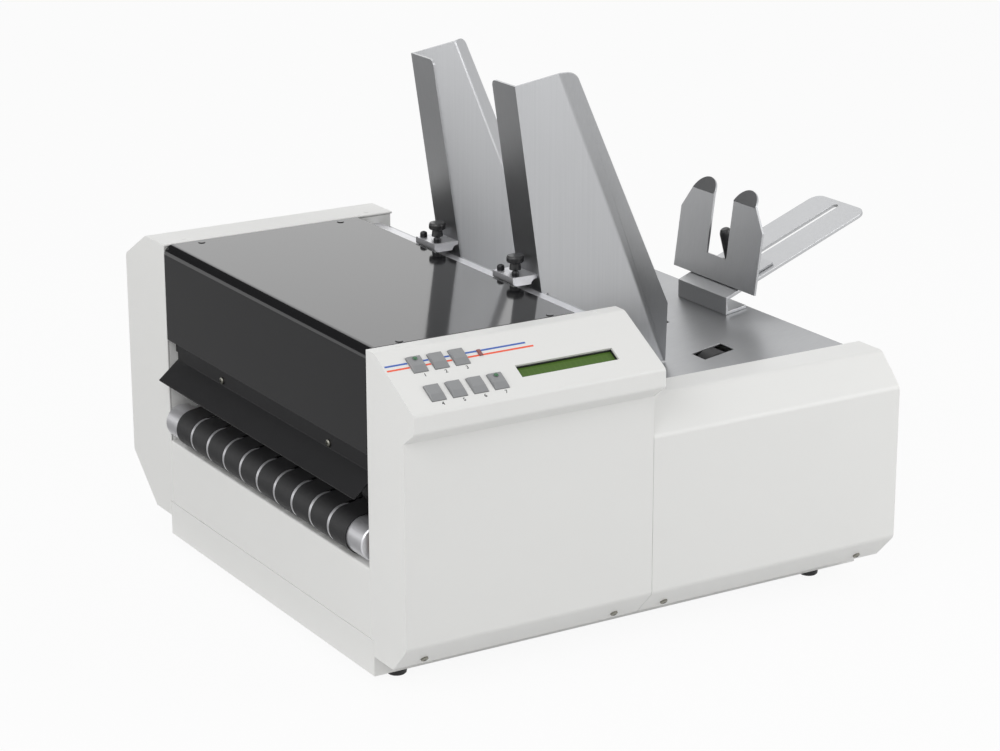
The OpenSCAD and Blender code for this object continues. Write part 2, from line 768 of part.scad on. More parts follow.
// Hopper guides and front plate, in the deck's frame moved to the flange's front face
module on_guide() on_deck() translate([guide_u, 0, 0]) children();
flange_corner = 5;
flange_low = deck_place(rail_x + rail_d + flange_gap, jaw_z)[1] - 4;
guide_notch = hopper_top + 1;
crease = [[guide_foot_w, guide_clear], [guide_foot_w - 4.5, guide_kink], [guide_top_w, guide_rise]];

module hopper_plate() color(steel) {
    on_guide() box([hopper_u, hopper_u + hopper_t], [fit, inner_w - fit], [throat, hopper_top]);
}

// A strip bent outwards along a crease from p to q of the plate's inner face; its outline is
// in [width, length along the crease]
function lean(p, q) = atan2(q[0] - p[0], q[1] - p[1]);
module flare(p, q, outline) {
    translate([p[0] - flare_bite, guide_t - flare_bite, p[1]])
        rotate([0, lean(p, q), 0]) rotate([0, 0, -flare_turn])
        rotate([90, 0, 0]) linear_extrude(guide_t) polygon(outline);
}
// The two strips meet on a mitre at the kink of the crease, with a relief slit between them
flare_slit = 0.2;
flare_bite = 0.1;
low_len = norm(crease[1] - crease[0]);
high_len = norm(crease[2] - crease[1]);
flare_mitre = flare_w * cos(flare_turn) * tan((lean(crease[0], crease[1]) - lean(crease[1], crease[2])) / 2);
low_flare = [
    [0, flare_slit], [flare_w, flare_slit],
    [flare_w, low_len + flare_mitre - flare_slit], [0, low_len - flare_slit]
];
high_flare = [
    [0, flare_slit], [flare_w, flare_slit - flare_mitre], [flare_w - 4, high_len - 13],
    [flare_w - 6, high_len - 8], [flare_w * 0.4, high_len - 1.5], [0, high_len - flare_slit]
];
// Plate on y = 0 .. guide_t, notched over the front plate, flange turned towards +y
module guide() {
    behind = hopper_u + hopper_t + 0.6;
    along_y(0, guide_t) polygon(concat(
        crease, [[0, guide_rise], [0, guide_notch], [behind, guide_notch], [behind, guide_clear]]
    ));
    flare(crease[0], crease[1], low_flare);
    flare(crease[1], crease[2], high_flare);
    along_x(0, guide_t) {
        translate([0, flange_low]) square([flange_w, guide_rise - flange_corner - flange_low]);
        translate([0, flange_low]) square([flange_w - flange_corner, guide_rise - flange_low]);
        translate([flange_w - flange_corner, guide_rise - flange_corner]) circle(flange_corner);
    }
}
module guide_near() color(steel) translate([0, near_y - guide_t, 0]) on_guide() guide();
module guide_far() color(steel) translate([0, far_y + guide_t, 0]) mirror([0, 1, 0]) on_guide() guide();

// Clamp of a guide round the cross rail: block above, jaw below, two screws in front
// and the flange behind; y is the middle of the clamp
function flange_x(z) = rail_x + rail_d + flange_gap - (z - rail_top + rail_h / 2) * tan(deck_tilt);
screw_spots = [-block_w / 2 + clamp_screw_in, block_w / 2 - clamp_screw_in];
module clamp_holes(y) {
    for (dy = screw_spots)
        translate([clamp_screw_x, y + dy, jaw_z - 1]) cylinder(h = 3 * rail_h, r = clamp_screw_r + run);
    translate([knob_x, y, rail_top]) cylinder(h = 2 * rail_h, r = stud_r + run);
}
module clamp_block(y) {
    back_x = flange_x(block_z + block_t) - 0.1;
    difference() {
        along_y(y - block_w / 2, block_w) difference() {
            polygon([
                [block_x, block_z + 2.2], [block_x, block_z + block_t], [back_x, block_z + block_t],
                [back_x, block_z], [block_x + 2.8, block_z]
            ]);
            translate([back_x - 1, block_z - 0.6]) circle(4.8);
        }
        clamp_holes(y);
    }
}
module clamp_jaw(y) {
    difference() {
        along_y(y - block_w / 2, block_w) polygon([
            [block_x + 1, jaw_z], [block_x + 1, jaw_z + jaw_t],
            [flange_x(jaw_z + jaw_t) - 0.1, jaw_z + jaw_t], [flange_x(jaw_z) - 0.1, jaw_z]
        ]);
        clamp_holes(y);
    }
}
module clamp_screws(y) {
    head = block_z + block_t;
    for (dy = screw_spots) translate([clamp_screw_x, y + dy, 0]) difference() {
        union() {
            translate([0, 0, jaw_z]) cylinder(h = head - jaw_z, r = clamp_screw_r);
            translate([0, 0, head]) rotate_extrude()
                polygon([[0, 0], [3.1, 0], [3.1, 3.2], [2.6, 4.3], [1.7, 4.8], [0, 4.8]]);
        }
        translate([0, 0, head + 3]) cylinder(h = 3, r = 1.4, $fn = 6);
    }
}
// Wide head on a waisted neck, over a brass stud that ends on the rail
module clamp_knob(y) {
    base = block_z + block_t + 2.3;
    translate([knob_x, y, 0]) rotate_extrude() union() {
        translate([0, rail_top + fit]) square([stud_r, base - rail_top + 1]);
        translate([0, base]) polygon([
            [0, 0], [knob_r * 0.69, 0], [knob_r * 0.6, knob_h * 0.46], [knob_r * 0.9, knob_h * 0.52],
            [knob_r, knob_h * 0.6], [knob_r, knob_h * 0.84], [knob_r * 0.9, knob_h], [0, knob_h]
        ]);
    }
}
module clamp_block_near() color(alu) clamp_block(near_mid);
module clamp_block_far() color(alu) clamp_block(far_mid);
module clamp_jaw_near() color(alu) clamp_jaw(near_mid);
module clamp_jaw_far() color(alu) clamp_jaw(far_mid);
module clamp_screws_near() color(gloss_black) clamp_screws(near_mid);
module clamp_screws_far() color(gloss_black) clamp_screws(far_mid);
module clamp_knob_near() color(matt_black) clamp_knob(near_mid);
module clamp_knob_far() color(matt_black) clamp_knob(far_mid);

// Feed shafts under the deck, each with three rollers in the deck's windows
module feed_rollers(x) {
    for (yc = feed_rows)
        turned_y(x, feed_axis_z(x), yc - feed_w / 2) tyre_profile(shaft_r + run, feed_r, feed_w);
}
module feed_shaft(x, layers) shaft(x, feed_axis_z(x), pulley_y(2) + pulley_w, layers);
module feed_shaft_front() color(steel) feed_shaft(feed_front_x, [1, 2]);
module feed_shaft_rear() color(steel) feed_shaft(feed_rear_x, [2]);
module feed_rollers_front() color(rubber) feed_rollers(feed_front_x);
module feed_rollers_rear() color(rubber) feed_rollers(feed_rear_x);

// Separator: a bracket on the front plate's face that holds a shoe over the front feed roller
separator_w = 30;
separator_h = 56;
module separator() color(matt_black) {
    face = hopper_u - 0.1;
    low = feed_proud + 1.2;
    on_guide() along_y(mid_y - separator_w / 2, separator_w) polygon([
        [face, low + 3], [face, separator_h], [face - sheet, separator_h], [face - sheet, throat + 9],
        [face - 12, throat + 6], [face - 12, throat], [face - 4, low], [face - 1, low]
    ]);
}

// Support arm: a slotted plate over a bent leg and a foot screwed to the deck
module on_arm() translate([arm_x, mid_y, arm_z]) rotate([0, -arm_tilt, 0]) children();
arm_corner = 11;
module rounded_plate(len, w, r) {
    translate([0, -w / 2]) square([len - r, w]);
    translate([0, -w / 2 + r]) square([len, w - 2 * r]);
    for (y = [-w / 2 + r, w / 2 - r]) translate([len - r, y]) circle(r);
}
module support_arm() color(steel) {
    toe_x = arm_x + arm_foot;
    foot_z = fit / 3;
    on_arm() translate([0, 0, -arm_t]) linear_extrude(arm_t) difference() {
        rounded_plate(arm_len, arm_w, arm_corner);
        translate([slot_start, 0]) stadium(slot_len, slot_w / 2);
    }
    along_y(mid_y - arm_w / 2, arm_w) polygon([
        [arm_x, arm_z], [arm_x + arm_t * sin(arm_tilt), arm_z - arm_t * cos(arm_tilt)],
        [arm_x + arm_t, deck_z(arm_x + arm_t) + arm_t],
        [toe_x, deck_z(toe_x) + arm_t], [toe_x, deck_z(toe_x) + foot_z], [arm_x, deck_z(arm_x) + foot_z]
    ]);
}

// Backstop fork, in the arm's frame turned back to its own lean
fork_root = 22;
tip_w = 32;
module prong(side) mirror([0, side < 0 ? 1 : 0, 0]) {
    shoulder = fork_h * 0.62;
    straight = fork_h - fork_tip;
    along_x(0, fork_t) polygon([
        [0, 0], [0, fork_root], [fork_gap / 2, fork_root], [fork_gap / 2, straight],
        [fork_gap / 2 + tip_w, straight], [fork_w / 2, shoulder], [fork_w / 2, 0]
    ]);
    // The rounded tip turned away from the stack
    translate([0, fork_gap / 2, straight]) rotate([0, 28, 0]) along_x(0, fork_t) {
        square([tip_w, fork_tip - tip_w / 4]);
        intersection() {
            translate([0, -1]) square([tip_w, fork_tip + 1]);
            translate([tip_w / 2, fork_tip - tip_w / 2]) circle(tip_w / 2);
        }
    }
}
module backstop_fork() color(steel) on_arm() translate([fork_at, 0, fit]) {
    // The plate's rear face meets the foot, so its lower edge stays clear of the arm
    rotate([0, arm_tilt + fork_lean, 0]) translate([-fork_t, 0, 0]) {
        prong(1);
        prong(-1);
    }
    difference() {
        translate([0, -fork_w / 4, 0]) cube([fork_foot, fork_w / 2, fork_t]);
        translate([back_knob_at - fork_at, 0, -1]) cylinder(h = fork_t + 2, r = stud_r + 1 + run);
    }
}
// Tall tapered knob over the slot, with a stud and a nut plate under the arm
module backstop_knob() color(matt_black) on_arm() translate([back_knob_at, 0, fork_t + 2 * fit]) {
    under = arm_t + fork_t + 3 * fit;
    rotate_extrude() union() {
        polygon([
            [0, 0], [11, 0], [11, 3], [8, 5], [5.6, back_knob_h - 4], [4.4, back_knob_h - 1],
            [3, back_knob_h], [0, back_knob_h]
        ]);
        translate([0, -under - 3]) square([stud_r + 1, under + 4]);
        translate([0, -under - 3]) square([slot_w, 3]);
    }
}

// Keys, each with a flange under the panel and a stem over its switch
module key_cap(i) color(key_grey) {
    spot = key_spots[i];
    under = sheet + fit;
    on_slope(spot[0], spot[1]) {
        hull() {
            translate([-key_w / 2, -key_l / 2, -under - 0.5]) cube([key_w, key_l, under + 0.5 + key_rise]);
            translate([-key_w / 2 + key_edge, -key_l / 2 + key_scoop, 0])
                cube([key_w - 2 * key_edge, key_l - key_edge - key_scoop, key_proud]);
        }
        translate([-key_w / 2 - key_flange, -key_l / 2 - key_flange, -under - key_flange_t])
            cube([key_w + 2 * key_flange, key_l + 2 * key_flange, key_flange_t]);
        translate([-2, -2, -under - key_flange_t - key_stem]) cube([4, 4, key_stem + 1]);
    }
}
module key_1() key_cap(0);
module key_2() key_cap(1);
module key_3() key_cap(2);
module key_4() key_cap(3);
module key_5() key_cap(4);
module key_6() key_cap(5);
module key_7() key_cap(6);

// Display window, lamp and the board behind the panel
lcd_lip = 4;
lcd_t = 6;
lcd_plug = [60, 12];
module display() color([0.29, 0.41, 0.18]) on_slope(lcd_x, lcd_s) {
    w = lcd_w + 2 * lcd_lip;
    h = lcd_h + 2 * lcd_lip;
    translate([-w / 2, -h / 2, -sheet - fit - lcd_t]) cube([w, h, lcd_t]);
    translate([-lcd_w / 2 + fit, -lcd_h / 2 + fit, -sheet - 2 * fit])
        cube([lcd_w - 2 * fit, lcd_h - 2 * fit, 2 * fit]);
}
module fault_lamp() color([0.45, 0.08, 0.08]) on_slope(lamp_x, lamp_s) {
    half = lamp_size / 2;
    translate([-half[0], -half[1], -lamp_depth]) cube([lamp_size[0], lamp_size[1], lamp_depth + lamp_proud]);
    translate([-half[0] - 1, -half[1] - 1, -lamp_depth]) cube([lamp_size[0] + 2, lamp_size[1] + 2, 3]);
}
module control_board() color([0.10, 0.32, 0.18]) on_slope() {
    top = -board_drop;
    switch_top = -sheet - fit - key_flange_t - key_stem - key_travel - fit;
    box(board_x, [-board_s[1], -board_s[0]], [top - board_t, top]);
    for (k = key_spots) {
        translate([k[0] - 3, -k[1] - 3, top - 0.5]) cube([6, 6, switch_top - top - 0.5]);
        translate([k[0], -k[1], top]) cylinder(h = switch_top - top, r = 1.75);
    }
    translate([lamp_x, -lamp_s, top - 0.5])
        cylinder(h = board_drop - lamp_depth - fit + 0.5, r = lamp_size[0]);
    translate([lcd_x - lcd_plug[0] / 2, -lcd_s - lcd_plug[1] / 2, top - 0.5])
        cube([lcd_plug[0], lcd_plug[1], board_drop - sheet - lcd_t - 2 * fit + 0.5]);
    for (x = [board_x[0] + 4, board_x[1] - 4], s = [board_s[0] + 4, board_s[1] - 4])
        translate([x, -s, top - 0.5]) cylinder(h = board_drop - sheet - fit + 0.5, r = 2.5);
}

// Drive behind the rear side plate
module drive_motor() color(matt_black) {
    difference() {
        union() {
            bar_y(motor_x, motor_z, inner_w - fit - motor_len, motor_len, motor_r);
            bar_y(motor_x, motor_z, inner_w - fit - 4, plate_t + fit + 4, motor_boss_r);
            bar_y(motor_x, motor_z, inner_w, plate_t + 2 + pulley_w, shaft_r - 1);
        }
        for (a = [0 : 30 : 330]) {
            rib = motor_r * [cos(a), sin(a)];
            bar_y(motor_x + rib[0], motor_z + rib[1], inner_w - motor_len + 8, motor_len - 20, 2);
        }
    }
}
module motor_pulley() color(alu) turned_y(motor_x, motor_z, pulley_y(0)) difference() {
    pulley_profile(pulley_r, pulley_w);
    translate([-1, -1]) square([shaft_r + run, pulley_w + 2]);
}
belt_in = pulley_rim_t + fit;
drive_belt_t = 1.3;
drive_belt_w = pulley_w - 2 * belt_in;
module drive_loop(a, b, layer) {
    loop(a, b, pulley_r + fit, drive_belt_t, pulley_y(layer) + belt_in, drive_belt_w);
}
module drive_belts() color(rubber) {
    front = [feed_front_x, feed_axis_z(feed_front_x)];
    rear = [feed_rear_x, feed_axis_z(feed_rear_x)];
    drive_loop([motor_x, motor_z], [infeed_x, infeed_z], 0);
    drive_loop([infeed_x, infeed_z], front, 1);
    drive_loop(front, rear, 2);
}

// Inlet, port and rocker switch on the hopper end panel; a bore is [depth, width, height]
inlet_depth = 24;
inlet_bore = [18, 21, 22];
module bezel_block(s, depth) {
    w = s[2] - 2 * fit;
    h = s[3] - 2 * fit;
    box([body_len - depth, body_len + 1], around(s[0], w / 2), around(s[1], h / 2));
    box([body_len, body_len + 1.6], around(s[0], w / 2 + panel_bezel), around(s[1], h / 2 + panel_bezel));
}
module connector_blocks() color(matt_black) {
    difference() {
        bezel_block(inlet_spot, inlet_depth);
        box([body_len - inlet_bore[0], body_len + 3], around(inlet_spot[0], inlet_bore[1] / 2),
            around(inlet_spot[1], inlet_bore[2] / 2));
    }
    for (p = [[-6, -4], [6, -4], [0, 4]])
        box([body_len - inlet_bore[0] - 1, body_len - 3], around(inlet_spot[0] + p[0], 1),
            around(inlet_spot[1] + p[1], 2));
    difference() {
        bezel_block(port_spot, 16);
        box([body_len - 12, body_len + 3], around(port_spot[0], 4.2), around(port_spot[1], 3.9));
    }
    difference() {
        bezel_block(switch_spot, 20);
        box([body_len - 14, body_len + 3], around(switch_spot[0], 9), around(switch_spot[1], 6));
        rocker_pivot(run);
    }
}
rocker_x = body_len - 4;
rocker_h = 11.4;
rocker_pin = [1.5, 13.6];
module rocker_pivot(gap) translate([rocker_x, switch_spot[0], switch_spot[1] - rocker_pin[1] / 2 - gap])
    cylinder(h = rocker_pin[1] + 2 * gap, r = rocker_pin[0] + gap);
module power_switch() color(gloss_black) {
    rocker_pivot(0);
    translate([rocker_x, switch_spot[0], switch_spot[1] - rocker_h / 2]) linear_extrude(rocker_h)
        polygon([[-3, -3], [0, -8], [5.5, -7.6], [4, 0], [7, 7.2], [4, 8], [-3, 3]]);
}

place() base_pan();
place() feet();
place() front_cover_left();
place() front_cover_right();
place() rear_cover_left();
place() rear_cover_right();
place() side_plate_front();
place() side_plate_rear();
place() exit_end_panel();
place() hopper_end_panel();
place() feed_deck();
place() cross_rail();
place() exit_roller();
place() infeed_roller();
place() roller_bushes();
place() transport_belts();
place() platen();
place() hold_down_shaft();
place() hold_down_wheels();
place() panel_screws();
place() print_rods();
place() print_carriage();
place() ink_cartridges();
place() top_cover();
place() cover_hinge_pins();
place() exit_hood();
place() hopper_plate();
place() guide_near();
place() guide_far();
place() clamp_block_near();
place() clamp_block_far();
place() clamp_jaw_near();
place() clamp_jaw_far();
place() clamp_screws_near();
place() clamp_screws_far();
place() clamp_knob_near();
place() clamp_knob_far();
place() feed_shaft_front();
place() feed_rollers_front();
place() feed_shaft_rear();
place() feed_rollers_rear();
place() separator();
place() support_arm();
place() backstop_fork();
place() backstop_knob();
place() key_1();
place() key_2();
place() key_3();
place() key_4();
place() key_5();
place() key_6();
place() key_7();
place() display();
place() fault_lamp();
place() control_board();
place() drive_motor();
place() motor_pulley();
place() drive_belts();
place() connector_blocks();
place() power_switch();
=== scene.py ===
"""Looks of a desktop envelope printer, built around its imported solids."""

import json
import logging
import math
from dataclasses import dataclass, field
from enum import Enum
from typing import Callable, Sequence

import bpy
from mathutils import Matrix, Vector

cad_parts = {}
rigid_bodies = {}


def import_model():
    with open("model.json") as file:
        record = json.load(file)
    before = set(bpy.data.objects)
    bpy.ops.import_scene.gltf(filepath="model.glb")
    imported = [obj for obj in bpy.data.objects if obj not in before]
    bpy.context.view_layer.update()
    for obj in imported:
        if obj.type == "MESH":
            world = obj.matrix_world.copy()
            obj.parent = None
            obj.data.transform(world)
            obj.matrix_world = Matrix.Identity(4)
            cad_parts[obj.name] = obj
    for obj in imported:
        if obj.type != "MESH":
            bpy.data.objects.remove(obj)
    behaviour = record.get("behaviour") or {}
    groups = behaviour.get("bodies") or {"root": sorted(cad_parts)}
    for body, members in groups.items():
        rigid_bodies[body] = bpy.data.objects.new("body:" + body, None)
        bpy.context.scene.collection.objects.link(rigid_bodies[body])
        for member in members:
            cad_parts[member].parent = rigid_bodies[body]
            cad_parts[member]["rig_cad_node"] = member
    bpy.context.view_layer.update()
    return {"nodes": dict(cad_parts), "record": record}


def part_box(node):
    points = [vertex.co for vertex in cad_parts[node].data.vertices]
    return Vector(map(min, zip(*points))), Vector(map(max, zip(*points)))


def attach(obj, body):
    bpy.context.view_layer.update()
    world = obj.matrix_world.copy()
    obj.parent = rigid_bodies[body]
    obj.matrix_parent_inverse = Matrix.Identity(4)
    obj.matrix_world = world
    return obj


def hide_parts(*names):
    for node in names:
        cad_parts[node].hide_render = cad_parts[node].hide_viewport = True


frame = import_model()
LOG = logging.getLogger("envelope_printer")

Pair = tuple[float, float]
Triple = tuple[float, float, float]

MM = 0.001
CLOSE = 0.1  # mm within which a corner counts as lying on a line
FACING = 0.99  # least cosine between a face's normal and the direction that it faces
PAN_SIDE = 5.0  # mm from the base pan's front to the front side plate's inner face
COVER_TOP = 264.0  # mm, height of the tall covers
PANEL_CREASE = -13.0  # mm, place across the machine of the sloping panel's upper edge
HOUSING = "housing"
WHITE = (1.0, 1.0, 1.0, 1.0)

# The base pan's corner fixes the machine's own axes: x from the exit end, y from the front side
# plate's inner face, z from the bottom of the pan.
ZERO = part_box("base_pan")[0] + Vector((0.0, PAN_SIDE * MM, 0.0))


def at(x: float, y: float, z: float) -> Vector:
    """Gives a place in the frame for one in the machine's axes, in mm."""
    return ZERO + Vector((x, y, z)) * MM


class Grain(Enum):
    """Run of the brush marks on a metal piece, as the stretch of its pattern along x, y and z."""

    ALONG_X = (6.0, 700.0, 700.0)
    ALONG_Y = (700.0, 6.0, 700.0)
    ALONG_Z = (700.0, 700.0, 6.0)


class Socket(Enum):
    """Kinds of socket on a shared shader group."""

    FLOAT = "NodeSocketFloat"
    COLOR = "NodeSocketColor"
    VECTOR = "NodeSocketVector"


class Pick(Enum):
    """What an edit picks on a mesh, as the select mode and the mesh's own list."""

    FACES = ("FACE", "polygons")
    EDGES = ("EDGE", "edges")
    CORNERS = ("VERT", "vertices")


class Nodes:
    """Short helpers round one node tree."""

    def __init__(self, tree: bpy.types.NodeTree) -> None:
        """Keeps the tree that the helpers work on."""
        self.tree = tree

    def feed(self, target: bpy.types.NodeSocket, value: object) -> None:
        """Gives an input another socket or a plain value.

        Args:
            target: The input.
            value: A socket to link, or the input's own value.
        """
        if isinstance(value, bpy.types.NodeSocket):
            self.tree.links.new(value, target)
        else:
            target.default_value = value

    def add(self, kind: str, values: dict | None = None, **settings: object) -> bpy.types.Node:
        """Adds a node.

        Args:
            kind: Name of the node's type, without its ShaderNode prefix.
            values: Sockets or plain values for its inputs, by name or number.
            settings: Properties of the node itself.

        Returns:
            The new node.
        """
        node = self.tree.nodes.new("ShaderNode" + kind)
        for key, value in settings.items():
            setattr(node, key, value)
        for key, value in (values or {}).items():
            self.feed(node.inputs[key], value)
        return node


@dataclass(frozen=True)
class Pattern:
    """A shader group round one noise pattern, which more than one finish uses.

    Attributes:
        name: Name of the group.
        inputs: Names of its inputs beside Vector.
        outputs: Names of its outputs.
        noise: Settings of the noise.
    """

    name: str
    inputs: tuple[str, ...]
    outputs: tuple[str, ...]
    noise: dict[str, float]

    def _start(self) -> bpy.types.NodeTree:
        """Makes the group with its sockets.

        Returns:
            The group, still empty.
        """
        kinds = {"Vector": Socket.VECTOR, "Color": Socket.COLOR}
        tree = bpy.data.node_groups.new(self.name, "ShaderNodeTree")
        for way, labels in (("INPUT", ("Vector", *self.inputs)), ("OUTPUT", self.outputs)):
            for label in labels:
                kind = kinds.get(label, Socket.FLOAT).value
                tree.interface.new_socket(name=label, in_out=way, socket_type=kind)
        return tree

    def tree(self) -> bpy.types.NodeTree:
        """Builds the group, or gives the one built before.

        Returns:
            The group: Height is the noise itself, and Color and Roughness swing with it.
        """
        found = bpy.data.node_groups.get(self.name)
        if found is not None:
            return found
        made = self._start()
        nodes = Nodes(made)
        given = made.nodes.new("NodeGroupInput").outputs
        target = made.nodes.new("NodeGroupOutput").inputs
        noise = nodes.add("TexNoise", {"Vector": given["Vector"], **self.noise})
        if "Scale" in self.inputs:
            nodes.feed(noise.inputs["Scale"], given["Scale"])
        height = noise.outputs["Fac"]
        for label in self.outputs:
            if label == "Height":
                nodes.feed(target[label], height)
                continue
            centred = nodes.add("Math", {0: height, 1: 0.5}, operation="SUBTRACT").outputs[0]
            middle = given["Roughness"] if label == "Roughness" else 1.0
            parts = {0: centred, 1: given["Amount"], 2: middle}
            swing = nodes.add("Math", parts, operation="MULTIPLY_ADD").outputs[0]
            if label == "Color":
                shade = {0: given["Color"], "Scale": swing}
                swing = nodes.add("VectorMath", shade, operation="SCALE").outputs[0]
            nodes.feed(target[label], swing)
        return made

    def place(self, nodes: Nodes, **values: object) -> bpy.types.Node:
        """Places the group in a material with its own values."""
        return nodes.add("Group", values, node_tree=self.tree())


MOTTLE = Pattern(
    "mottle", ("Color", "Scale", "Amount"), ("Color",), {"Detail": 4.0, "Roughness": 0.6}
)
RUBBING = Pattern(
    "rubbing", ("Roughness", "Scale", "Amount"), ("Roughness",),
    {"Detail": 3.0, "Roughness": 0.7, "Distortion": 0.6},
)
FINE_TEXTURE = Pattern("fine_texture", ("Scale",), ("Height",), {"Detail": 2.0, "Roughness": 0.5})
BRUSH_MARKS = Pattern(
    "brush_marks", ("Color", "Amount"), ("Color", "Height"),
    {"Scale": 1.0, "Detail": 5.0, "Roughness": 0.65},
)


@dataclass(frozen=True)
class Finish:
    """One finish: a shader with mottled colour, rubbed gloss and a fine texture.

    Attributes:
        name: Name of the material.
        color: Base colour, linear.
        roughness: Middle of the roughness.
        metallic: 1 for bare metal.
        coat: Weight of a clear coat.
        coat_roughness: Roughness of that coat.
        specular: Specular level.
        mottle: Swing of the colour in soft patches.
        mottle_scale: Patches per metre.
        rub: Swing of the roughness.
        rub_scale: Smears per metre.
        texture_scale: Grains per metre of the fine texture.
        texture_height: Height of the fine texture in metres.
        grain: Run of the brush marks, or None.
        streak: Swing of the colour in the brush marks.
    """

    name: str
    color: Triple
    roughness: float
    metallic: float = 0.0
    coat: float = 0.0
    coat_roughness: float = 0.04
    specular: float = 0.5
    mottle: float = 0.03
    mottle_scale: float = 30.0
    rub: float = 0.08
    rub_scale: float = 25.0
    texture_scale: float = 1500.0
    texture_height: float = 0.00002
    grain: Grain | None = None
    streak: float = 0.0

    def material(self) -> bpy.types.Material:
        """Builds the material, or gives the one built before.

        Returns:
            The material.
        """
        title = f"{self.name}_finish"
        found = bpy.data.materials.get(title)
        if found is not None:
            return found
        made = bpy.data.materials.new(title)
        made.use_nodes = True
        nodes = Nodes(made.node_tree)
        place = nodes.add("TexCoord").outputs["Object"]
        rubbed = RUBBING.place(
            nodes, Vector=place, Roughness=self.roughness, Scale=self.rub_scale, Amount=self.rub
        )
        relief = {"Distance": self.texture_height, "Height": self.height(nodes, place)}
        bump = nodes.add("Bump", {"Strength": 1.0, **relief})
        shader = {
            "Metallic": self.metallic,
            "Coat Weight": self.coat,
            "Coat Roughness": self.coat_roughness,
            "Specular IOR Level": self.specular,
            "Base Color": self.shade(nodes, place),
            "Roughness": rubbed.outputs["Roughness"],
            "Normal": bump.outputs["Normal"],
        }
        for label, value in shader.items():
            nodes.feed(made.node_tree.nodes["Principled BSDF"].inputs[label], value)
        return made

    def _brushed(
        self, nodes: Nodes, place: bpy.types.NodeSocket, **values: object
    ) -> bpy.types.Node:
        """Places the brush marks, drawn out along their run.

        Args:
            nodes: Helpers for the material's tree.
            place: Object coordinates.
            values: Values for the group's other inputs.

        Returns:
            The group's node.
        """
        assert self.grain is not None
        drawn_out = nodes.add("Mapping", {"Vector": place, "Scale": self.grain.value})
        return BRUSH_MARKS.place(nodes, Vector=drawn_out.outputs["Vector"], **values)

    def base_color(self, nodes: Nodes, place: bpy.types.NodeSocket) -> object:
        """Gives the base colour; a finish whose colour changes over the piece gives a socket."""
        return (*self.color, 1.0)

    def shade(self, nodes: Nodes, place: bpy.types.NodeSocket) -> bpy.types.NodeSocket:
        """Builds the colour.

        Args:
            nodes: Helpers for the material's tree.
            place: Object coordinates.

        Returns:
            The socket with the finished colour.
        """
        base = self.base_color(nodes, place)
        patches = MOTTLE.place(
            nodes, Vector=place, Scale=self.mottle_scale, Amount=self.mottle, Color=base
        )
        color = patches.outputs["Color"]
        if self.grain is None:
            return color
        return self._brushed(nodes, place, Amount=self.streak, Color=color).outputs["Color"]

    def height(self, nodes: Nodes, place: bpy.types.NodeSocket) -> bpy.types.NodeSocket:
        """Builds the height of the surface's fine texture or brush marks.

        Args:
            nodes: Helpers for the material's tree.
            place: Object coordinates.

        Returns:
            The socket with the height.
        """
        if self.grain is not None:
            return self._brushed(nodes, place, Amount=1.0).outputs["Height"]
        texture = FINE_TEXTURE.place(nodes, Vector=place, Scale=self.texture_scale)
        return texture.outputs["Height"]


@dataclass(frozen=True)
class BandedFinish(Finish):
    """A finish whose colour changes above a plane, as on a knob over its stud.

    Attributes:
        lower: Colour below the plane, linear.
        origin: A point of the plane.
        up: Direction out of the plane.
    """

    lower: Triple = (0.5, 0.3, 0.1)
    origin: Triple = (0.0, 0.0, 0.0)
    up: Triple = (0.0, 0.0, 1.0)

    def base_color(self, nodes: Nodes, place: bpy.types.NodeSocket) -> object:
        """Builds the colour of the side of the plane that a point lies on.

        Args:
            nodes: Helpers for the material's tree.
            place: Object coordinates.

        Returns:
            The socket with the colour.
        """
        offset = nodes.add("VectorMath", {0: place, 1: self.origin}, operation="SUBTRACT")
        reach = {0: offset.outputs[0], 1: self.up}
        above = nodes.add("VectorMath", reach, operation="DOT_PRODUCT").outputs["Value"]
        side = nodes.add("Math", {0: above, 1: 0.0}, operation="GREATER_THAN").outputs[0]
        colors = {"Factor": side, 6: (*self.lower, 1.0), 7: (*self.color, 1.0)}
        return nodes.add("Mix", colors, data_type="RGBA").outputs[2]


@dataclass(frozen=True)
class DisplayFinish(Finish):
    """Green display glass with faint rows of character cells.

    Attributes:
        cell: Colour of the cells, linear.
        pitch: Cells per metre along the window and up it.
        tilt: Slope of the panel in radians.
        gap: Width of the gaps between the cells, and their softness, as shares of a cell.
    """

    cell: Triple = (0.07, 0.14, 0.022)
    pitch: Pair = (210.0, 180.0)
    tilt: float = 0.5136
    gap: Pair = (0.06, 0.3)

    def base_color(self, nodes: Nodes, place: bpy.types.NodeSocket) -> object:
        """Builds the colour of the cells and of the glass between them.

        Args:
            nodes: Helpers for the material's tree.
            place: Object coordinates.

        Returns:
            The socket with the colour.
        """
        turned = nodes.add(
            "Mapping",
            {"Vector": place, "Rotation": (-self.tilt, 0.0, 0.0), "Scale": (*self.pitch, 1.0)},
        )
        cell = (*self.cell, 1.0)
        colors = {"Color1": cell, "Color2": cell, "Mortar": (*self.color, 1.0)}
        gaps = {"Mortar Size": self.gap[0], "Mortar Smooth": self.gap[1]}
        sizes = {"Scale": 1.0, "Brick Width": 1.0, "Row Height": 1.0}
        values = {"Vector": turned.outputs["Vector"], **colors, **gaps, **sizes}
        return nodes.add("TexBrick", values, offset=0.0).outputs["Color"]


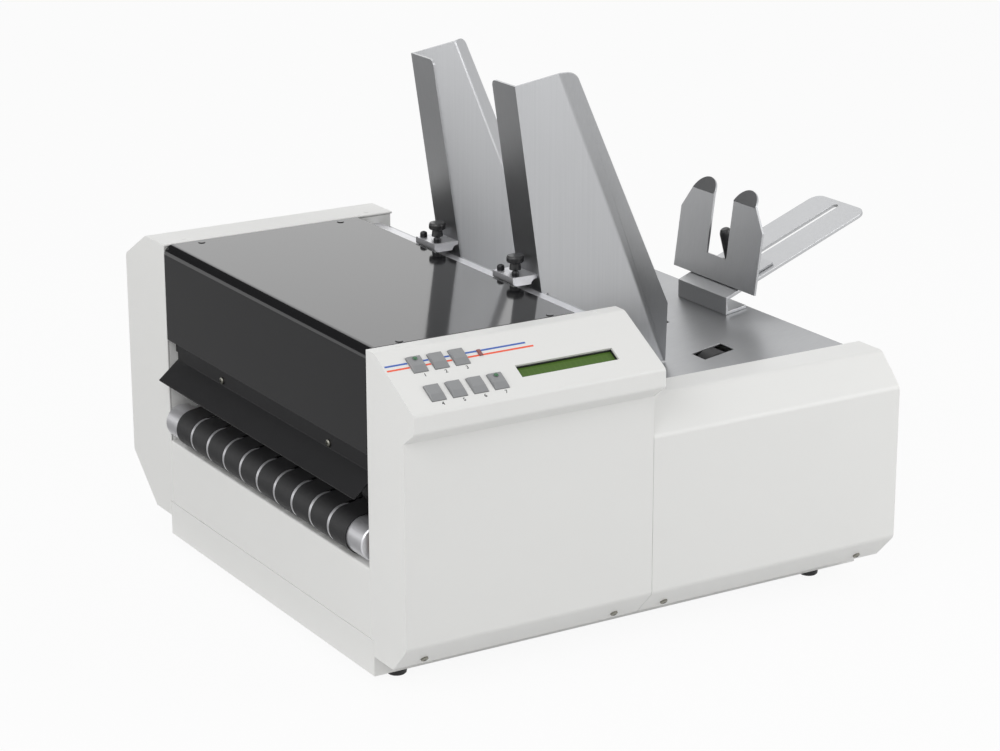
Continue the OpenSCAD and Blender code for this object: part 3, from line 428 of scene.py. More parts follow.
WHITE_PAINT = Finish(
    "white_paint", (0.80, 0.80, 0.785), 0.42, mottle=0.025, mottle_scale=14.0, rub=0.10,
    rub_scale=9.0, texture_scale=900.0, texture_height=0.00003,
)
GLOSS_BLACK = Finish(
    "gloss_black", (0.010, 0.010, 0.011), 0.08, mottle=0.2, rub=0.04, rub_scale=12.0,
    texture_scale=300.0, texture_height=0.000002,
)
MATT_BLACK = Finish(
    "matt_black", (0.011, 0.011, 0.012), 0.46, specular=0.28, mottle=0.25, mottle_scale=60.0,
    rub=0.12, texture_scale=1800.0, texture_height=0.00004,
)
BLACK_STEEL = Finish(
    "black_steel", (0.02, 0.02, 0.022), 0.32, metallic=0.6, mottle=0.4, mottle_scale=200.0,
    texture_scale=2500.0, texture_height=0.00001,
)
RUBBER = Finish(
    "black_rubber", (0.016, 0.016, 0.017), 0.55, specular=0.4, mottle=0.5, mottle_scale=90.0,
    rub=0.2, rub_scale=70.0, texture_scale=2600.0, texture_height=0.00006,
)
BLACK_PLASTIC = Finish(
    "black_plastic", (0.014, 0.014, 0.015), 0.36, mottle=0.3, mottle_scale=120.0, rub=0.15,
    texture_scale=2200.0, texture_height=0.00003,
)
GLOSS_PLASTIC = Finish(
    "gloss_black_plastic", (0.012, 0.012, 0.013), 0.16, mottle=0.3, rub=0.08,
    texture_scale=800.0, texture_height=0.000004,
)
KEY_GREY = Finish(
    "key_grey", (0.265, 0.27, 0.276), 0.30, mottle=0.10, mottle_scale=160.0, rub=0.12,
    rub_scale=120.0, texture_scale=3000.0, texture_height=0.00002,
)
BRONZE = Finish(
    "bronze", (0.42, 0.24, 0.09), 0.35, metallic=1.0, mottle=0.3, mottle_scale=240.0,
    texture_scale=3000.0, texture_height=0.00002,
)
BOARD_GREEN = Finish(
    "board_green", (0.01, 0.10, 0.035), 0.35, mottle=0.3, mottle_scale=220.0,
    texture_scale=900.0, texture_height=0.00004,
)
MOTOR_BLACK = Finish(
    "motor_black", (0.02, 0.02, 0.022), 0.3, mottle=0.2, mottle_scale=80.0,
    texture_scale=1200.0, texture_height=0.00003,
)
ALUMINIUM = Finish(
    "aluminium", (0.62, 0.62, 0.64), 0.38, metallic=0.8, mottle=0.06, mottle_scale=120.0,
    rub=0.12, grain=Grain.ALONG_Y, streak=0.14, texture_height=0.000006,
)
BRIGHT_STEEL = Finish(
    "bright_steel", (0.60, 0.60, 0.61), 0.22, metallic=1.0, mottle=0.08, mottle_scale=200.0,
    rub=0.10, texture_scale=2400.0, texture_height=0.000006,
)
SCREW_STEEL = Finish(
    "screw_steel", (0.25, 0.245, 0.215), 0.30, metallic=1.0, mottle=0.14, mottle_scale=300.0,
    rub=0.10, texture_scale=2400.0, texture_height=0.000006,
)
# Same stainless as the level sheets, painted a little darker: painted shade for the darker faces
# of the upright sheets.
SHEET_UPRIGHT_SHADED = Finish(
    "stainless_upright_shaded", (0.42, 0.425, 0.435), 0.34, metallic=1.0, mottle=0.05, mottle_scale=8.0,
    rub=0.10, rub_scale=10.0, grain=Grain.ALONG_Z, streak=0.16, texture_height=0.000008,
)
SHEET_LEVEL = Finish(
    "stainless_level", (0.45, 0.455, 0.464), 0.36, metallic=1.0, mottle=0.05, mottle_scale=10.0,
    rub=0.10, grain=Grain.ALONG_X, streak=0.16, texture_height=0.000008,
)
# Same stainless as the level sheets, painted darker: painted shade for the shadow that falls on
# the feed deck.
SHEET_DECK_SHADED = Finish(
    "stainless_deck_shaded", (0.33, 0.334, 0.342), 0.38, metallic=1.0, mottle=0.05, mottle_scale=10.0,
    rub=0.10, grain=Grain.ALONG_X, streak=0.16, texture_height=0.000008,
)
STRIPE_BLUE, STRIPE_RED, PRINT_DARK = (
    Finish(name, color, roughness, texture_scale=3000.0, texture_height=0.000004)
    for name, color, roughness in (
        ("stripe_blue", (0.035, 0.115, 0.46), 0.4),
        ("stripe_red", (0.87, 0.10, 0.035), 0.4),
        ("print_dark", (0.03, 0.03, 0.032), 0.5),
    )
)
LENS_GREEN, LENS_RED = (
    Finish(name, color, roughness, coat=0.5, mottle=0.4, mottle_scale=700.0)
    for name, color, roughness in (
        ("lens_green", (0.01, 0.12, 0.035), 0.12),
        ("lens_red", (0.20, 0.012, 0.012), 0.15),
    )
)
DISPLAY_GREEN = DisplayFinish(
    "display_green", (0.085, 0.165, 0.027), 0.4, specular=0.2, mottle=0.06,
    texture_height=0.000002,
)


class Bench:
    """Modelling helpers: each works on one object with everything else deselected."""

    merge = 2e-6  # metres within which corners are joined and faces count as empty

    @staticmethod
    def clear() -> None:
        """Leaves edit mode and deselects everything."""
        if bpy.context.object is not None and bpy.context.object.mode != "OBJECT":
            bpy.ops.object.mode_set(mode="OBJECT")
        bpy.ops.object.select_all(action="DESELECT")

    @staticmethod
    def only(piece: bpy.types.Object) -> None:
        """Selects one object and makes it active.

        Args:
            piece: The object.
        """
        Bench.clear()
        piece.select_set(True)
        bpy.context.view_layer.objects.active = piece

    @staticmethod
    def start(
        name: str, operator: Callable[..., object], **settings: object
    ) -> bpy.types.Object:
        """Adds a primitive, with nothing else selected.

        Args:
            name: Name of the piece.
            operator: The operator that adds it.
            settings: The operator's own arguments.

        Returns:
            The new piece.
        """
        Bench.clear()
        operator(**settings)
        made = bpy.context.object
        made.name = name
        return made

    @staticmethod
    def edit(
        piece: bpy.types.Object, operator: Callable[..., object], **settings: object
    ) -> None:
        """Runs an operator in edit mode with all of the piece selected.

        Args:
            piece: The object.
            operator: A mesh operator, or a function with several of them.
            settings: The operator's own arguments.
        """
        Bench.only(piece)
        bpy.ops.object.mode_set(mode="EDIT")
        bpy.ops.mesh.select_all(action="SELECT")
        operator(**settings)
        bpy.ops.object.mode_set(mode="OBJECT")

    @staticmethod
    def edit_some(
        piece: bpy.types.Object,
        pick: Pick,
        wanted: Callable[..., bool],
        operator: Callable[..., object],
        **settings: object,
    ) -> None:
        """Runs an operator in edit mode on what passes a test.

        Args:
            piece: The object.
            pick: Whether faces, edges or corners are picked.
            wanted: Says whether one of them is picked.
            operator: A mesh operator, or a function with several of them.
            settings: The operator's own arguments.
        """
        mode, elements = pick.value
        Bench.only(piece)
        bpy.ops.object.mode_set(mode="EDIT")
        bpy.ops.mesh.select_mode(type=mode)
        bpy.ops.mesh.select_all(action="DESELECT")
        bpy.ops.object.mode_set(mode="OBJECT")
        for element in getattr(piece.data, elements):
            element.select = wanted(element)
        bpy.ops.object.mode_set(mode="EDIT")
        operator(**settings)
        bpy.ops.mesh.select_mode(type="VERT")
        bpy.ops.object.mode_set(mode="OBJECT")

    @staticmethod
    def ends(piece: bpy.types.Object, edge: bpy.types.MeshEdge) -> list[Vector]:
        """Gives the places of an edge's two ends."""
        return [piece.data.vertices[number].co for number in edge.vertices]

    @staticmethod
    def apply(piece: bpy.types.Object, kind: str, **settings: object) -> None:
        """Adds a modifier and applies it.

        Args:
            piece: The object.
            kind: Type of the modifier.
            settings: Its properties.
        """
        Bench.only(piece)
        modifier = piece.modifiers.new(kind.lower(), kind)
        for key, value in settings.items():
            setattr(modifier, key, value)
        bpy.ops.object.modifier_apply(modifier=modifier.name)

    @staticmethod
    def round_edges(
        piece: bpy.types.Object, radius: float, segments: int = 2, angle: float = 40.0
    ) -> None:
        """Rounds the edges of a piece.

        Args:
            piece: The object.
            radius: Radius of the edges in mm.
            segments: Steps round an edge.
            angle: Least angle of an edge that is rounded, in degrees.
        """
        Bench.apply(
            piece, "BEVEL", width=radius * MM, segments=segments, limit_method="ANGLE",
            angle_limit=math.radians(angle),
        )

    @staticmethod
    def clean(piece: bpy.types.Object) -> None:
        """Joins doubled corners and removes faces without area.

        Args:
            piece: The object.
        """
        def steps() -> None:
            """Cleans the whole mesh."""
            bpy.ops.mesh.remove_doubles(threshold=Bench.merge)
            bpy.ops.mesh.dissolve_degenerate(threshold=Bench.merge)
            bpy.ops.mesh.normals_make_consistent(inside=False)

        Bench.edit(piece, steps)

    @staticmethod
    def smooth(piece: bpy.types.Object, degrees: float = 35.0) -> None:
        """Shades a piece smooth.

        Args:
            piece: The object.
            degrees: Angle between faces up to which it is smooth.
        """
        Bench.only(piece)
        bpy.ops.object.shade_smooth_by_angle(angle=math.radians(degrees))
        Bench.apply(piece, "WEIGHTED_NORMAL", mode="FACE_AREA", weight=80, keep_sharp=True)

    @staticmethod
    def settle(piece: bpy.types.Object, matrix: Matrix) -> None:
        """Puts a piece in place and moves that place into its mesh.

        Args:
            piece: The object.
            matrix: Its place.
        """
        piece.matrix_world = matrix
        Bench.only(piece)
        bpy.ops.object.transform_apply(location=True, rotation=True, scale=True)

    @staticmethod
    def copy(piece: bpy.types.Object, name: str) -> bpy.types.Object:
        """Copies a piece with a mesh of its own.

        Args:
            piece: The object.
            name: Name of the copy.

        Returns:
            The copy.
        """
        Bench.only(piece)
        bpy.ops.object.duplicate(linked=False)
        made = bpy.context.view_layer.objects.active
        made.name = name
        return made

    @staticmethod
    def join(pieces: Sequence[bpy.types.Object], name: str) -> bpy.types.Object:
        """Joins pieces into one object.

        Args:
            pieces: The pieces.
            name: Name of the joined piece.

        Returns:
            The joined piece.
        """
        Bench.clear()
        for piece in pieces:
            piece.select_set(True)
        bpy.context.view_layer.objects.active = pieces[0]
        bpy.ops.object.join()
        pieces[0].name = name
        return pieces[0]

    @staticmethod
    def repeat(first: bpy.types.Object, name: str, places: Sequence[Matrix]) -> bpy.types.Object:
        """Copies a piece to its places and joins the copies.

        Args:
            first: The piece, modelled at the origin; it goes afterwards.
            name: Name of the joined piece.
            places: Where the copies go.

        Returns:
            The joined piece.
        """
        copies = []
        for number, place in enumerate(places):
            made = Bench.copy(first, f"{name}_{number}")
            Bench.settle(made, place)
            copies.append(made)
        bpy.data.objects.remove(first)
        return Bench.join(copies, name)

    @staticmethod
    def dress(piece: bpy.types.Object, finish: Finish, slot: str, body: str) -> None:
        """Gives a piece its finish and the body that it rides on.

        Args:
            piece: The piece, in place.
            finish: Its finish.
            slot: Name of the record's material slot; not used.
            body: Name of the body.
        """
        piece.data.materials.clear()
        piece.data.materials.append(finish.material())
        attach(piece, body)
        LOG.info("piece %s on %s", piece.name, body)


@dataclass(frozen=True)
class SoftEdges:
    """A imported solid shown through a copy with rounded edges.

    Attributes:
        node: Name of the solid's node.
        radius: Radius of its edges in mm.
        segments: Steps round an edge.
        bends: Sheet bends along the machine with a larger radius, as (y, z, radius) in mm.
        angle: Least angle of an edge that is rounded, in degrees.
        bend_reach: How near an edge lies to a bend's line, in mm.
        bend_segments: Steps round a bend.
        flat_angle: Angle in degrees up to which neighbouring triangles are one flat face.
    """

    node: str
    radius: float
    segments: int = 2
    bends: tuple[Triple, ...] = ()
    angle: float = 20.0
    bend_reach: float = 0.3
    bend_segments: int = 6
    flat_angle: float = 0.5

    def bend(self, piece: bpy.types.Object, y: float, z: float, radius: float) -> None:
        """Rounds the edges of a piece that lie on one line along the machine.

        Args:
            piece: The piece, in the frame's place.
            y: Place of the line across the machine, in mm.
            z: Height of the line, in mm.
            radius: How far the bend reaches over both faces, in mm.
        """
        line = at(0.0, y, z)
        reach = self.bend_reach * MM

        def on_line(edge: bpy.types.MeshEdge) -> bool:
            """Picks the edges that run along the line."""
            ends = Bench.ends(piece, edge)
            return all(abs(e.y - line.y) < reach and abs(e.z - line.z) < reach for e in ends)

        Bench.edit_some(
            piece, Pick.EDGES, on_line, bpy.ops.mesh.bevel, offset=radius * MM,
            segments=self.bend_segments, affect="EDGES", clamp_overlap=False,
        )

    def trim(self, piece: bpy.types.Object) -> None:
        """Leaves the outline as it is; a piece with its own outline changes it here."""

    def build(self) -> bpy.types.Object:
        """Makes the copy, rounds its edges and lets it stand for the node.

        Returns:
            The copy.
        """
        made = Bench.copy(frame["nodes"][self.node], self.node + "_dressed")
        del made["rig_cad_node"]
        if made.data.has_custom_normals:
            bpy.ops.mesh.customdata_custom_splitnormals_clear()

        def flatten() -> None:
            """Joins the loose triangles into flat faces."""
            bpy.ops.mesh.remove_doubles(threshold=Bench.merge / 2)
            bpy.ops.mesh.dissolve_limited(angle_limit=math.radians(self.flat_angle))

        Bench.edit(made, flatten)
        self.trim(made)
        for y, z, radius in self.bends:
            self.bend(made, y, z, radius)
        Bench.round_edges(made, self.radius, self.segments, self.angle)
        Bench.clean(made)
        Bench.smooth(made)
        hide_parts(self.node)
        return made


def show(node: str, finish: Finish) -> None:
    """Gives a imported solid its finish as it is.

    Args:
        node: Name of the node.
        finish: Its finish.
    """
    piece = frame["nodes"][node]
    piece.data.materials.clear()
    piece.data.materials.append(finish.material())
    LOG.info("solid %s in %s", node, finish.name)


@dataclass
class SolidsTable:
    """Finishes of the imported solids, and the ones shown with rounded edges.

    Attributes:
        key_angle: Least angle of the keys' rounded edges, in degrees.
        bends: Bends of the sheet covers, as (y, z, radius) in mm.
    """

    key_angle: float = 8.0
    bends: dict[str, tuple[Triple, ...]] = field(
        default_factory=lambda: {
            "front_cover_left": (
                (PANEL_CREASE, COVER_TOP, 2.4), (-71.5, 231.0, 1.8), (-71.5, 216.0, 1.8),
                (-56.0, 39.0, 2.5),
            ),
            "front_cover_right": ((-30.5, 196.5, 3.0), (-56.0, 171.0, 2.5), (-56.0, 39.0, 2.5)),
            "rear_cover_left": ((398.0, COVER_TOP, 2.6), (440.6, 239.0, 2.5), (440.6, 57.0, 2.5)),
            "rear_cover_right": ((440.6, 57.0, 2.5),),
        }
    )

    def dressed(self) -> dict[str, tuple[float, int, Finish]]:
        """Gives the solids with rounded edges.

        Returns:
            Edge radius in mm, steps round an edge and finish, by node.
        """
        table: dict[str, tuple[float, int, Finish]] = {
            "base_pan": (0.8, 2, WHITE_PAINT),
            "front_cover_left": (0.9, 3, WHITE_PAINT),
            "front_cover_right": (0.9, 3, WHITE_PAINT),
            "rear_cover_left": (0.9, 3, WHITE_PAINT),
            "rear_cover_right": (0.9, 3, WHITE_PAINT),
            "exit_end_panel": (0.8, 3, WHITE_PAINT),
            "hopper_end_panel": (0.6, 2, WHITE_PAINT),
            "top_cover": (0.5, 2, GLOSS_BLACK),
            "exit_hood": (0.4, 2, MATT_BLACK),
            "feed_deck": (0.3, 2, SHEET_DECK_SHADED),
            "hopper_plate": (0.3, 2, SHEET_UPRIGHT_SHADED),
            "support_arm": (0.4, 2, SHEET_LEVEL),
            "cross_rail": (0.4, 2, ALUMINIUM),
            "clamp_block_near": (0.3, 2, ALUMINIUM),
            "clamp_block_far": (0.3, 2, ALUMINIUM),
            "print_carriage": (0.5, 2, BLACK_PLASTIC),
            "ink_cartridges": (0.6, 2, GLOSS_PLASTIC),
            "connector_blocks": (0.25, 2, BLACK_PLASTIC),
            "power_switch": (0.4, 2, GLOSS_PLASTIC),
        }
        for number in range(1, 8):
            table[f"key_{number}"] = (0.25, 2, KEY_GREY)
        return table

    def plain(self) -> dict[str, Finish]:
        """Gives the solids that show as they are.

        Returns:
            Finish by node.
        """
        return {
            "feet": RUBBER,
            "side_plate_front": WHITE_PAINT,
            "side_plate_rear": WHITE_PAINT,
            "exit_roller": ALUMINIUM,
            "infeed_roller": ALUMINIUM,
            "roller_bushes": BRONZE,
            "transport_belts": RUBBER,
            "platen": SHEET_LEVEL,
            "hold_down_shaft": BRIGHT_STEEL,
            "hold_down_wheels": RUBBER,
            "print_rods": BRIGHT_STEEL,
            "cover_hinge_pins": BRIGHT_STEEL,
            "clamp_jaw_near": ALUMINIUM,
            "clamp_jaw_far": ALUMINIUM,
            "clamp_screws_near": BLACK_STEEL,
            "clamp_screws_far": BLACK_STEEL,
            "feed_shaft_front": BRIGHT_STEEL,
            "feed_rollers_front": RUBBER,
            "feed_shaft_rear": BRIGHT_STEEL,
            "feed_rollers_rear": RUBBER,
            "separator": MATT_BLACK,
            "control_board": BOARD_GREEN,
            "drive_motor": MOTOR_BLACK,
            "motor_pulley": ALUMINIUM,
            "drive_belts": RUBBER,
        }

    def build(self) -> None:
        """Dresses every solid."""
        slots = {row["node"]: row["material_slot"] for row in frame["record"]["subparts"]}
        bodies = frame["record"]["behaviour"]["bodies"]
        rides = {node: body for body, members in bodies.items() for node in members}
        for node, (radius, segments, finish) in self.dressed().items():
            angle = self.key_angle if finish is KEY_GREY else SoftEdges.angle
            piece = SoftEdges(node, radius, segments, self.bends.get(node, ()), angle).build()
            Bench.dress(piece, finish, slots[node], rides[node])
        for node, finish in self.plain().items():
            show(node, finish)


@dataclass(frozen=True)
class ForkSheet(SoftEdges):
    """The backstop fork, with the outline of its two tips drawn smooth.

    Attributes:
        middle: Place of the fork's middle across the machine, in mm.
        tip_sides: Distances of a tip's two sides from the middle, in mm.
        tip_low: Height above which the tips' corners lie, in mm.
        inward: How far a corner moves towards the tip's middle, in mm.
        down: How far it moves along the machine and up, in mm.
    """

    middle: float = 180.0
    tip_sides: Pair = (14.7, 46.7)
    tip_low: float = 286.5
    inward: float = 0.85
    down: Pair = (-1.45, -2.04)

    def trim(self, piece: bpy.types.Object) -> None:
        """Draws in the small corners on both sides of each tip, in the tip's own plane.

        Args:
            piece: The fork.
        """
        mid = at(0.0, self.middle, self.tip_low)
        near, far = self.tip_sides
        along, up = self.down
        for prong in (-1.0, 1.0):
            for side, inward in ((near, self.inward), (far, -self.inward)):
                def corner(
                    vertex: bpy.types.MeshVertex, line: float = mid.y + prong * side * MM
                ) -> bool:
                    """Picks the corners between a tip's straight side and its round end."""
                    return vertex.co.z > mid.z and abs(vertex.co.y - line) < CLOSE * MM

                Bench.edit_some(
                    piece, Pick.CORNERS, corner, bpy.ops.transform.translate,
                    value=(along * MM, prong * inward * MM, up * MM),
                )


@dataclass(frozen=True)
class GuideSheet:
    """A leaning hopper guide, folded from one sheet: plate, front flange and flared rear strip.

    The guide is folded in a frame of its own: x away from the crease, y across the machine, z up
    the crease, with the crease's foot at the origin. Sizes in mm.

    Attributes:
        node: Name of the solid that the sheet stands for.
        plate_y: Place of the plate's middle across the machine.
        side: 1 where the flange turns towards +y, -1 where it turns towards -y.
        start: Place of the flange's front foot along the machine, and its height.
        deck_tilt: Slope of the feed deck in degrees.
        blank_size: Width and height of the sheet that the guide is cut from.
        blank_middle: Place of that sheet's middle, along x and up the crease.
        cut_ends: How far along the deck and over it the lines of the cuts are drawn.
        sheet: Thickness.
        foot: Gap between the plate and the deck.
        rise: Height of the plate's top over the deck.
        widths: Width of the plate at its top and at its foot.
        notch: Width and height of the notch that clears the hopper's front plate.
        flange: Width of the flange.
        flange_low: Height of the flange's lower end.
        turn: Outward turn of the strip in degrees.
        strip: Outer outline of the strip laid flat, as (width, place up the crease).
        rounds: Radius of the flange's and of the strip's upper corner.
        round_segments: Steps round such a corner.
        crease_reach: How far the rounded crease reaches over both faces.
        crease_segments: Steps round the crease.
        edge: Radius of the sheet's edges.
        clear: Distance by which other corners stay clear of those that are picked.
    """

    node: str
    plate_y: float
    side: float
    start: Pair = (230.794, 157.446)
    deck_tilt: float = 8.5
    blank_size: Pair = (260.0, 400.0)
    blank_middle: Pair = (-60.0, 130.0)
    cut_ends: Pair = (100.0, 300.0)
    sheet: float = 2.0
    foot: float = 1.5
    rise: float = 271.6
    widths: Pair = (42.4, 109.3)
    notch: Pair = (5.7, 94.6)
    flange: float = 36.0
    flange_low: float = 78.4
    turn: float = 30.0
    strip: tuple[Pair, ...] = ((13.4, 270.2), (19.7, 51.0), (2.0, 1.6))
    rounds: Pair = (5.0, 7.0)
    round_segments: int = 8
    crease_reach: float = 2.0
    crease_segments: int = 4
    edge: float = 0.35
    clear: float = 1.0

    @property
    def lean(self) -> float:
        """Angle between the crease and the deck's normal, in radians."""
        return math.atan((self.widths[1] - self.widths[0]) / (self.rise - self.foot))

    @property
    def to_deck(self) -> Matrix:
        """Turn from the guide's own axes to ones along the deck and square to it."""
        return Matrix.Rotation(-self.lean, 3, "Y")

    def spot(self, along: float, up: float) -> Vector:
        """Gives a place on the plate, from its place along the deck and its height over it."""
        off = Vector((along - self.widths[1], 0.0, up - self.foot))
        return self.to_deck.inverted() @ off * MM

    def over_deck(self, place: Vector) -> Vector:
        """Gives a place along the deck and over it, in mm, as spot takes it."""
        return self.to_deck @ (place - self.spot(0.0, 0.0)) / MM

    def split(
        self, piece: bpy.types.Object, first: Vector, second: Vector, clear: bool = True
    ) -> None:
        """Cuts the flat sheet along a line.

        Args:
            piece: The sheet.
            first: A place on the line.
            second: Another place on it.
            clear: Whether what lies to the right of the way from first to second goes.
        """
        way = second - first
        normal = Vector((way.z, 0.0, -way.x)).normalized()
        Bench.edit(
            piece, bpy.ops.mesh.bisect, plane_co=first, plane_no=normal, clear_outer=clear,
            use_fill=False,
        )

    def blank(self) -> bpy.types.Object:
        """Cuts the flat sheet out of a larger one.

        Returns:
            The sheet, still flat.
        """
        name = self.node + "_dressed"
        made = Bench.start(name, bpy.ops.mesh.primitive_plane_add, size=1.0)
        lift = Matrix.Translation(Vector((self.blank_middle[0], 0.0, self.blank_middle[1])) * MM)
        size = Matrix.Diagonal((self.blank_size[0] * MM, 1.0, self.blank_size[1] * MM, 1.0))
        Bench.settle(made, lift @ size @ Matrix.Rotation(math.pi / 2, 4, "X"))
        front, (wide, high) = self.sheet / 2, self.notch
        reach, above = self.cut_ends
        self.split(made, self.spot(front, above), self.spot(front, 0.0))
        self.split(made, self.spot(0.0, self.foot), self.spot(reach, self.foot))
        self.split(made, self.spot(reach, self.rise), self.spot(0.0, self.rise))
        edge = [Vector((width, 0.0, up)) * MM for width, up in self.strip]
        for upper, lower in zip(edge, edge[1:]):
            self.split(made, lower, upper)
        self.split(made, self.spot(0.0, high), self.spot(reach, high), clear=False)
        self.split(made, self.spot(wide, 0.0), self.spot(wide, reach), clear=False)

        def notched(face: bpy.types.MeshPolygon) -> bool:
            """Picks the face in the notch."""
            place = self.over_deck(face.center)
            return place.x < wide and place.z < high

        def drop() -> None:
            """Deletes the picked face and joins the rest."""
            bpy.ops.mesh.delete(type="FACE")
            bpy.ops.mesh.select_all(action="SELECT")
            bpy.ops.mesh.dissolve_limited(angle_limit=math.radians(1.0))

        def spare(vertex: bpy.types.MeshVertex) -> bool:
            """Picks what the notch's cuts left on the sheet's straight edges."""
            x, _, z = self.over_deck(vertex.co) - Vector((wide, 0.0, high))
            return (abs(z) < CLOSE and x > self.clear) or (abs(x) < CLOSE and z > self.clear)

        Bench.edit_some(made, Pick.FACES, notched, drop)
        Bench.edit_some(made, Pick.CORNERS, spare, bpy.ops.mesh.dissolve_verts)
        return made

    def fold(self, piece: bpy.types.Object) -> None:
        """Folds the flange and the strip out of the flat sheet.

        Args:
            piece: The sheet.
        """
        front, high = self.sheet / 2, self.notch[1]
        self.split(piece, Vector((0.0, 0.0, 0.0)), Vector((0.0, 0.0, 1.0)), clear=False)

        def front_edge(edge: bpy.types.MeshEdge) -> bool:
            """Picks the plate's front edge above the notch."""
            ends = [self.over_deck(end) for end in Bench.ends(piece, edge)]
            return all(abs(end.x - front) < CLOSE and end.z > high - CLOSE for end in ends)

        def low_edge(edge: bpy.types.MeshEdge) -> bool:
            """Picks the flange's lower edge."""
            one, other = (self.over_deck(end) for end in Bench.ends(piece, edge))
            return (
                max(abs(one.z - high), abs(other.z - high)) < CLOSE
                and abs(one.y - other.y) > self.clear
            )

        def behind(face: bpy.types.MeshPolygon) -> bool:
            """Picks the strip behind the crease."""
            return face.center.x > CLOSE * MM

        across = Vector((0.0, self.side * (self.flange - front) * MM, 0.0))
        down = self.to_deck.inverted() @ Vector((0.0, 0.0, (self.flange_low - high) * MM))
        for wanted, way in ((front_edge, across), (low_edge, down)):
            Bench.edit_some(
                piece, Pick.EDGES, wanted, bpy.ops.mesh.extrude_region_move,
                TRANSFORM_OT_translate={"value": way},
            )
        Bench.edit_some(
            piece, Pick.FACES, behind, bpy.ops.transform.rotate,
            value=self.side * math.radians(self.turn), orient_axis="Z",
            center_override=(0.0, 0.0, 0.0),
        )

    def finish(self, piece: bpy.types.Object) -> None:
        """Rounds the upper corners and the folds and gives the sheet its thickness.

        Args:
            piece: The folded sheet.
        """
        strip_start = 5.0 * MM
        top = max(vertex.co.z for vertex in piece.data.vertices if vertex.co.x > strip_start)
        reach = self.side * (self.flange - self.sheet / 2) * MM

        def flange_corner(vertex: bpy.types.MeshVertex) -> bool:
            """Picks the flange's upper corner."""
            high = self.over_deck(vertex.co).z > self.rise - self.clear
            return high and abs(vertex.co.y - reach) < CLOSE * MM

        def strip_corner(vertex: bpy.types.MeshVertex) -> bool:
            """Picks the strip's upper corner."""
            return vertex.co.x > strip_start and vertex.co.z > top - self.clear * MM

        def crease(edge: bpy.types.MeshEdge) -> bool:
            """Picks the crease between plate and strip."""
            ends = Bench.ends(piece, edge)
            return all(abs(end.x) < CLOSE * MM and abs(end.y) < CLOSE * MM for end in ends)

        for corner, radius in zip((flange_corner, strip_corner), self.rounds):
            Bench.edit_some(
                piece, Pick.CORNERS, corner, bpy.ops.mesh.bevel, offset=radius * MM,
                segments=self.round_segments, affect="VERTICES", clamp_overlap=False,
            )
        Bench.edit_some(
            piece, Pick.EDGES, crease, bpy.ops.mesh.bevel, offset=self.crease_reach * MM,
            segments=self.crease_segments, affect="EDGES", clamp_overlap=True,
        )
        Bench.apply(
            piece, "SOLIDIFY", thickness=self.sheet * MM, offset=0.0, use_even_offset=True
        )
        Bench.clean(piece)
        Bench.round_edges(piece, self.edge)
        Bench.clean(piece)
        Bench.smooth(piece)

    def build(self) -> bpy.types.Object:
        """Makes the guide and lets it stand for its solid.

        Returns:
            The guide, in place.
        """
        made = self.blank()
        self.fold(made)
        self.finish(made)
        deck = math.radians(self.deck_tilt)
        along = Vector((math.cos(deck), 0.0, math.sin(deck)))
        up = Vector((-math.sin(deck), 0.0, math.cos(deck)))
        crease_foot = (along * self.widths[1] + up * self.foot) * MM
        place = at(self.start[0], self.plate_y, self.start[1]) + crease_foot
        turn = Matrix.Rotation(-deck - self.lean, 4, "Y")
        Bench.settle(made, Matrix.Translation(place) @ turn)
        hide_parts(self.node)
        return made


@dataclass
class Hopper:
    """Sheet pieces of the hopper.

    Attributes:
        guides: The two guides.
        fork: The backstop fork.
    """

    guides: tuple[GuideSheet, ...] = (
        GuideSheet("guide_near", 97.5, 1.0),
        GuideSheet("guide_far", 262.5, -1.0),
    )
    fork: ForkSheet = ForkSheet("backstop_fork", 0.35)

    def build(self) -> None:
        """Makes and dresses the pieces."""
        for guide in self.guides:
            Bench.dress(guide.build(), SHEET_UPRIGHT_SHADED, "stainless_sheet", guide.node)
        Bench.dress(self.fork.build(), SHEET_UPRIGHT_SHADED, "stainless_sheet", "backstop")


@dataclass
class RollerLands:
    """Bright lands of the exit roller, which show between the belts.

    Attributes:
        axis: Place of the roller along the machine, and its height, in mm.
        first: Place of the first land across the machine, in mm.
        pitch: Spacing of the lands in mm.
        count: How many there are.
        radius: Radius of a land in mm.
        width: Width of a land in mm.
        wall: How far a land reaches in under the roller's surface, in mm.
        edge: Radius of its edges in mm.
        sides: Steps round a land.
    """

    axis: Pair = (10.0, 105.945)
    first: float = 56.0
    pitch: float = 31.0
    count: int = 9
    radius: float = 16.15
    width: float = 3.6
    wall: float = 1.1
    edge: float = 0.3
    sides: int = 72

    def build(self) -> None:
        """Models one land, copies it along the roller and joins the copies."""
        land = Bench.start(
            "roller_land", bpy.ops.mesh.primitive_cylinder_add, vertices=self.sides,
            radius=self.radius * MM, depth=self.width * MM, rotation=(math.pi / 2, 0.0, 0.0),
        )
        Bench.settle(land, land.matrix_world.copy())

        def ends(face: bpy.types.MeshPolygon) -> bool:
            """Picks both flat ends."""
            return abs(face.normal.y) > FACING

        def hollow() -> None:
            """Draws the ends in under the roller's surface and joins them by an inner wall."""
            bpy.ops.mesh.inset(thickness=self.wall * MM)
            bpy.ops.mesh.bridge_edge_loops()

        Bench.edit_some(land, Pick.FACES, ends, hollow)
        Bench.clean(land)
        Bench.round_edges(land, self.edge)
        Bench.smooth(land)
        x, z = self.axis
        places = [
            Matrix.Translation(at(x, self.first + number * self.pitch, z))
            for number in range(self.count)
        ]
        lands = Bench.repeat(land, "roller_lands", places)
        Bench.dress(lands, ALUMINIUM, "aluminium", "exit_roller")


